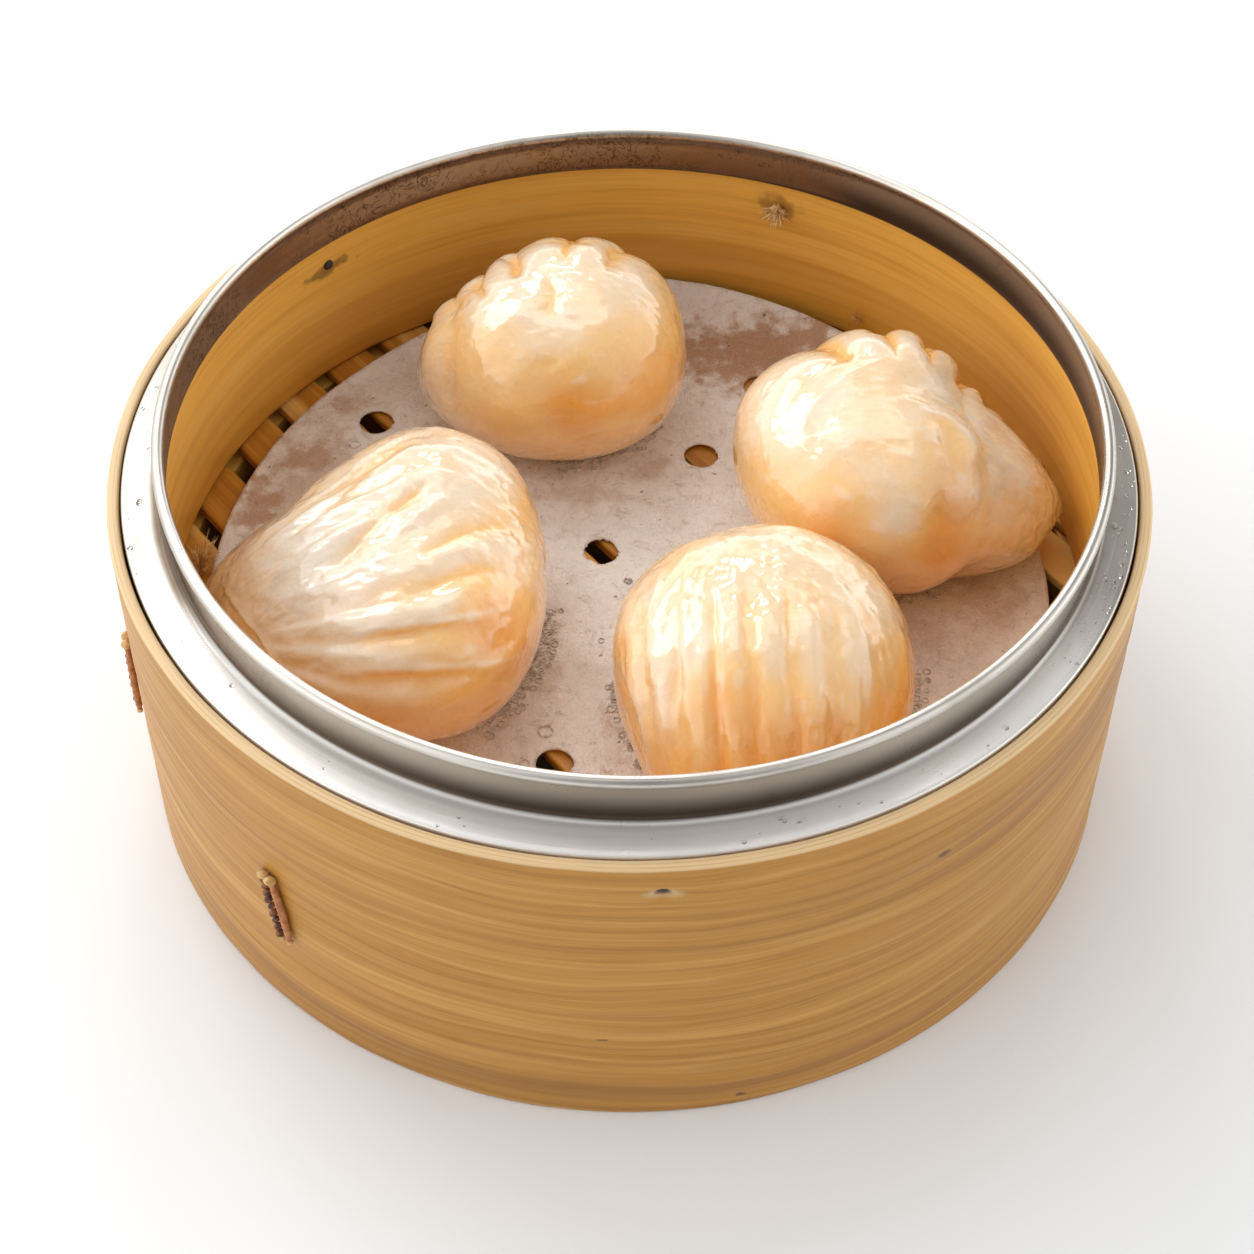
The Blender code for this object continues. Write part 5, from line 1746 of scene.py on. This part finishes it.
class FloorSettings(bpy.types.PropertyGroup):
    """Sizes and colours of the slats, the paper and the foam on it."""

    slat: colour_setting("Slats", "Floor slats", (0.58, 0.235, 0.016))
    slat_dark: colour_setting("Dark slats", "Dark fibres of the slats", (0.36, 0.11, 0.006))
    # Pale slats also paint light on the slats at the right.
    slat_pale: colour_setting("Pale slats", "Pale fibres of the slats", (0.98, 0.62, 0.18))
    hole_radius: length_setting("Hole radius", "Radius of the punched holes", HOLE_RADIUS * MM)
    wave: length_setting("Paper waves", "Height of the waves in the paper", 0.3 * MM)
    paper: colour_setting("Paper", "Wet paper", (0.98, 0.91, 0.85))
    paper_pale: colour_setting("Pale paper", "Pale fibres of the paper", (1.0, 0.97, 0.94))
    paper_wet: colour_setting("Soaked paper", "Soaked patches of the paper", (0.72, 0.61, 0.52))
    paper_stain: colour_setting("Paper stain", "Brown stains of the paper", (0.50, 0.27, 0.14))
    bubble_size: length_setting("Bubble size", "Radius of the largest bubble of the foam", 0.72 * MM)
    # Dark foam also paints the bubbles' dark outlines; pale foam also paints their glints.
    foam_dark_and_shade: colour_setting("Dark foam", "Wet foam", (0.55, 0.44, 0.35))
    foam_pale_and_glint: colour_setting("Pale foam", "Pale foam", (1.0, 0.96, 0.90))


class DumplingSettings(bpy.types.PropertyGroup):
    """Relief and colours of the four dumplings."""

    pleats: share_setting("Pleats", "Depth of the pleats and folds against their full depth", 1.0)
    wrinkles: share_setting("Wrinkles", "Depth of the wrinkles against their full depth", 1.0)
    cream: colour_setting("Skin", "Cream skin", (0.845, 0.665, 0.475))
    warm: colour_setting("Warm skin", "Skin over the filling", (0.90, 0.525, 0.19))
    filling: colour_setting("Filling", "Filling seen through the skin", (0.84, 0.36, 0.065))
    thin: colour_setting("Thin skin", "Thin grey skin at the tails", (0.86, 0.77, 0.66))
    # Fold edge also paints the highlights along the fold edges and the streak crests.
    edge: colour_setting("Fold edge", "Pale edges of the folds", (0.92, 0.80, 0.65))


class TrimSettings(bpy.types.PropertyGroup):
    """Sizes and colours of the lashings, the frayed bamboo and the nail."""

    strand_radius: length_setting("Strand", "Radius of a cane strand", STRAND_RADIUS * MM)
    strand_dark: colour_setting("Dark strand", "Dark cane strand", (0.36, 0.11, 0.025))
    strand_pale: colour_setting("Pale strand", "Pale cane strand", (0.62, 0.27, 0.09))
    stitch_dark: colour_setting("Dark stitches", "Dark cane stitches", (0.05, 0.012, 0.006))
    stitch_pale: colour_setting("Pale stitches", "Pale cane stitches", (0.36, 0.11, 0.03))
    curl_dark: colour_setting("Dark curls", "Dark cane curls", (0.50, 0.27, 0.08))
    curl_pale: colour_setting("Pale curls", "Pale cane curls", (0.78, 0.52, 0.22))
    fibre_dark: colour_setting("Dark fibres", "Dark frayed fibres", (0.56, 0.29, 0.08))
    fibre_pale: colour_setting("Pale fibres", "Pale frayed fibres", (0.95, 0.74, 0.40))
    nail_radius: length_setting("Nail", "Radius of the nail's head", 1.0 * MM)


class StudioSettings(bpy.types.PropertyGroup):
    """Lights of the studio and colour of its floor."""

    floor: colour_setting("Floor", "Studio floor", (0.87, 0.89, 0.90))
    key_power: power_setting("Soft box", "Power of the soft box in watts", 2.2)
    core_power: power_setting("Small light", "Power of the small light at the back in watts", 0.8)
    top_power: power_setting("Overhead", "Power of the light overhead in watts", 2.0)
    left_light: colour_setting("Left", "Room light from the left", (2.0, 2.0, 2.0))
    back_light: colour_setting("Back", "Room light from the back", (0.42, 0.42, 0.42))
    right_light: colour_setting("Right", "Room light from the right", (1.35, 1.35, 1.35))
    front_light: colour_setting("Front", "Room light from low in front", (0.36, 0.36, 0.36))
    upper_light: colour_setting("Upper front", "Room light from high in front", (0.85, 0.85, 0.85))
    camera_side: colour_setting("Camera side", "Dark room behind the camera", (0.2, 0.195, 0.19))
    horizon_light: colour_setting("Horizon", "Room light from low at the back", (2.3, 2.3, 2.3))


SETTINGS = {
    "har_gow_walls": WallSettings,
    "har_gow_rim": RimSettings,
    "har_gow_floor": FloorSettings,
    "har_gow_dumplings": DumplingSettings,
    "har_gow_trim": TrimSettings,
    "har_gow_studio": StudioSettings,
}


# Operators, one for each piece or group of like pieces.


class HARGOW_OT_walls(bpy.types.Operator):
    """Build the outside wall and the two inner hoops."""

    bl_idname = "har_gow.walls"
    bl_label = "Bamboo walls"

    def execute(self, context):
        add_walls(context.scene.har_gow_walls)
        return {"FINISHED"}


class HARGOW_OT_rim(bpy.types.Operator):
    """Build the pressed steel rim."""

    bl_idname = "har_gow.rim"
    bl_label = "Steel rim"

    def execute(self, context):
        add_rim(context.scene.har_gow_rim)
        return {"FINISHED"}


class HARGOW_OT_slats(bpy.types.Operator):
    """Build the twelve floor slats."""

    bl_idname = "har_gow.slats"
    bl_label = "Floor slats"

    def execute(self, context):
        add_slats(context.scene.har_gow_floor)
        return {"FINISHED"}


class HARGOW_OT_paper(bpy.types.Operator):
    """Build the sheet of punched paper."""

    bl_idname = "har_gow.paper"
    bl_label = "Paper"

    def execute(self, context):
        add_paper(context.scene.har_gow_floor)
        return {"FINISHED"}


class HARGOW_OT_dumplings(bpy.types.Operator):
    """Build the four dumplings."""

    bl_idname = "har_gow.dumplings"
    bl_label = "Dumplings"

    def execute(self, context):
        add_dumplings(context.scene.har_gow_dumplings)
        return {"FINISHED"}


class HARGOW_OT_foam(bpy.types.Operator):
    """Build the foam on the paper round the dumplings."""

    bl_idname = "har_gow.foam"
    bl_label = "Foam"

    def execute(self, context):
        add_foam(context.scene.har_gow_floor)
        return {"FINISHED"}


class HARGOW_OT_drops(bpy.types.Operator):
    """Build the water drops on the steel rim."""

    bl_idname = "har_gow.drops"
    bl_label = "Water drops"

    def execute(self, context):
        add_drops(context.scene.har_gow_rim)
        return {"FINISHED"}


class HARGOW_OT_lashings(bpy.types.Operator):
    """Build the two cane lashings."""

    bl_idname = "har_gow.lashings"
    bl_label = "Cane lashings"

    def execute(self, context):
        add_lashings(context.scene.har_gow_trim)
        return {"FINISHED"}


class HARGOW_OT_frayed(bpy.types.Operator):
    """Build the frayed peg, tuft and splinters."""

    bl_idname = "har_gow.frayed"
    bl_label = "Frayed bamboo"

    def execute(self, context):
        add_frayed(context.scene.har_gow_trim)
        return {"FINISHED"}


class HARGOW_OT_nail(bpy.types.Operator):
    """Build the head of the nail in the inner wall."""

    bl_idname = "har_gow.nail"
    bl_label = "Nail"

    def execute(self, context):
        add_nail(context.scene.har_gow_trim)
        return {"FINISHED"}


class HARGOW_OT_studio(bpy.types.Operator):
    """Build the studio floor, the lights and the camera."""

    bl_idname = "har_gow.studio"
    bl_label = "Studio"

    def execute(self, context):
        add_studio(context.scene.har_gow_studio)
        return {"FINISHED"}


OPERATORS = (
    HARGOW_OT_walls,
    HARGOW_OT_rim,
    HARGOW_OT_slats,
    HARGOW_OT_paper,
    HARGOW_OT_dumplings,
    HARGOW_OT_foam,
    HARGOW_OT_drops,
    HARGOW_OT_lashings,
    HARGOW_OT_frayed,
    HARGOW_OT_nail,
    HARGOW_OT_studio,
)


class HARGOW_PT_steamer(bpy.types.Panel):
    """Buttons for the pieces of the steamer, and their settings."""

    bl_label = "Har gow steamer"
    bl_space_type = "VIEW_3D"
    bl_region_type = "UI"
    bl_category = "Har gow"

    def draw(self, context):
        for operator in OPERATORS:
            self.layout.operator(operator.bl_idname)
        for name, group in SETTINGS.items():
            box = self.layout.box()
            for key in group.__annotations__:
                box.prop(getattr(context.scene, name), key)


def register():
    """Make the settings, operators and panel known to Blender."""
    for name, group in SETTINGS.items():
        bpy.utils.register_class(group)
        setattr(bpy.types.Scene, name, bpy.props.PointerProperty(type=group))
    for item in (*OPERATORS, HARGOW_PT_steamer):
        bpy.utils.register_class(item)


def unregister():
    """Take the settings, operators and panel away again."""
    for item in (HARGOW_PT_steamer, *reversed(OPERATORS)):
        bpy.utils.unregister_class(item)
    for name, group in SETTINGS.items():
        delattr(bpy.types.Scene, name)
        bpy.utils.unregister_class(group)


def main():
    """Build every piece in order."""
    register()
    bpy.ops.har_gow.walls()
    bpy.ops.har_gow.rim()
    bpy.ops.har_gow.slats()
    bpy.ops.har_gow.paper()
    bpy.ops.har_gow.dumplings()
    bpy.ops.har_gow.foam()
    bpy.ops.har_gow.drops()
    bpy.ops.har_gow.lashings()
    bpy.ops.har_gow.frayed()
    bpy.ops.har_gow.nail()
    bpy.ops.har_gow.studio()


if __name__ == "__main__":
    main()
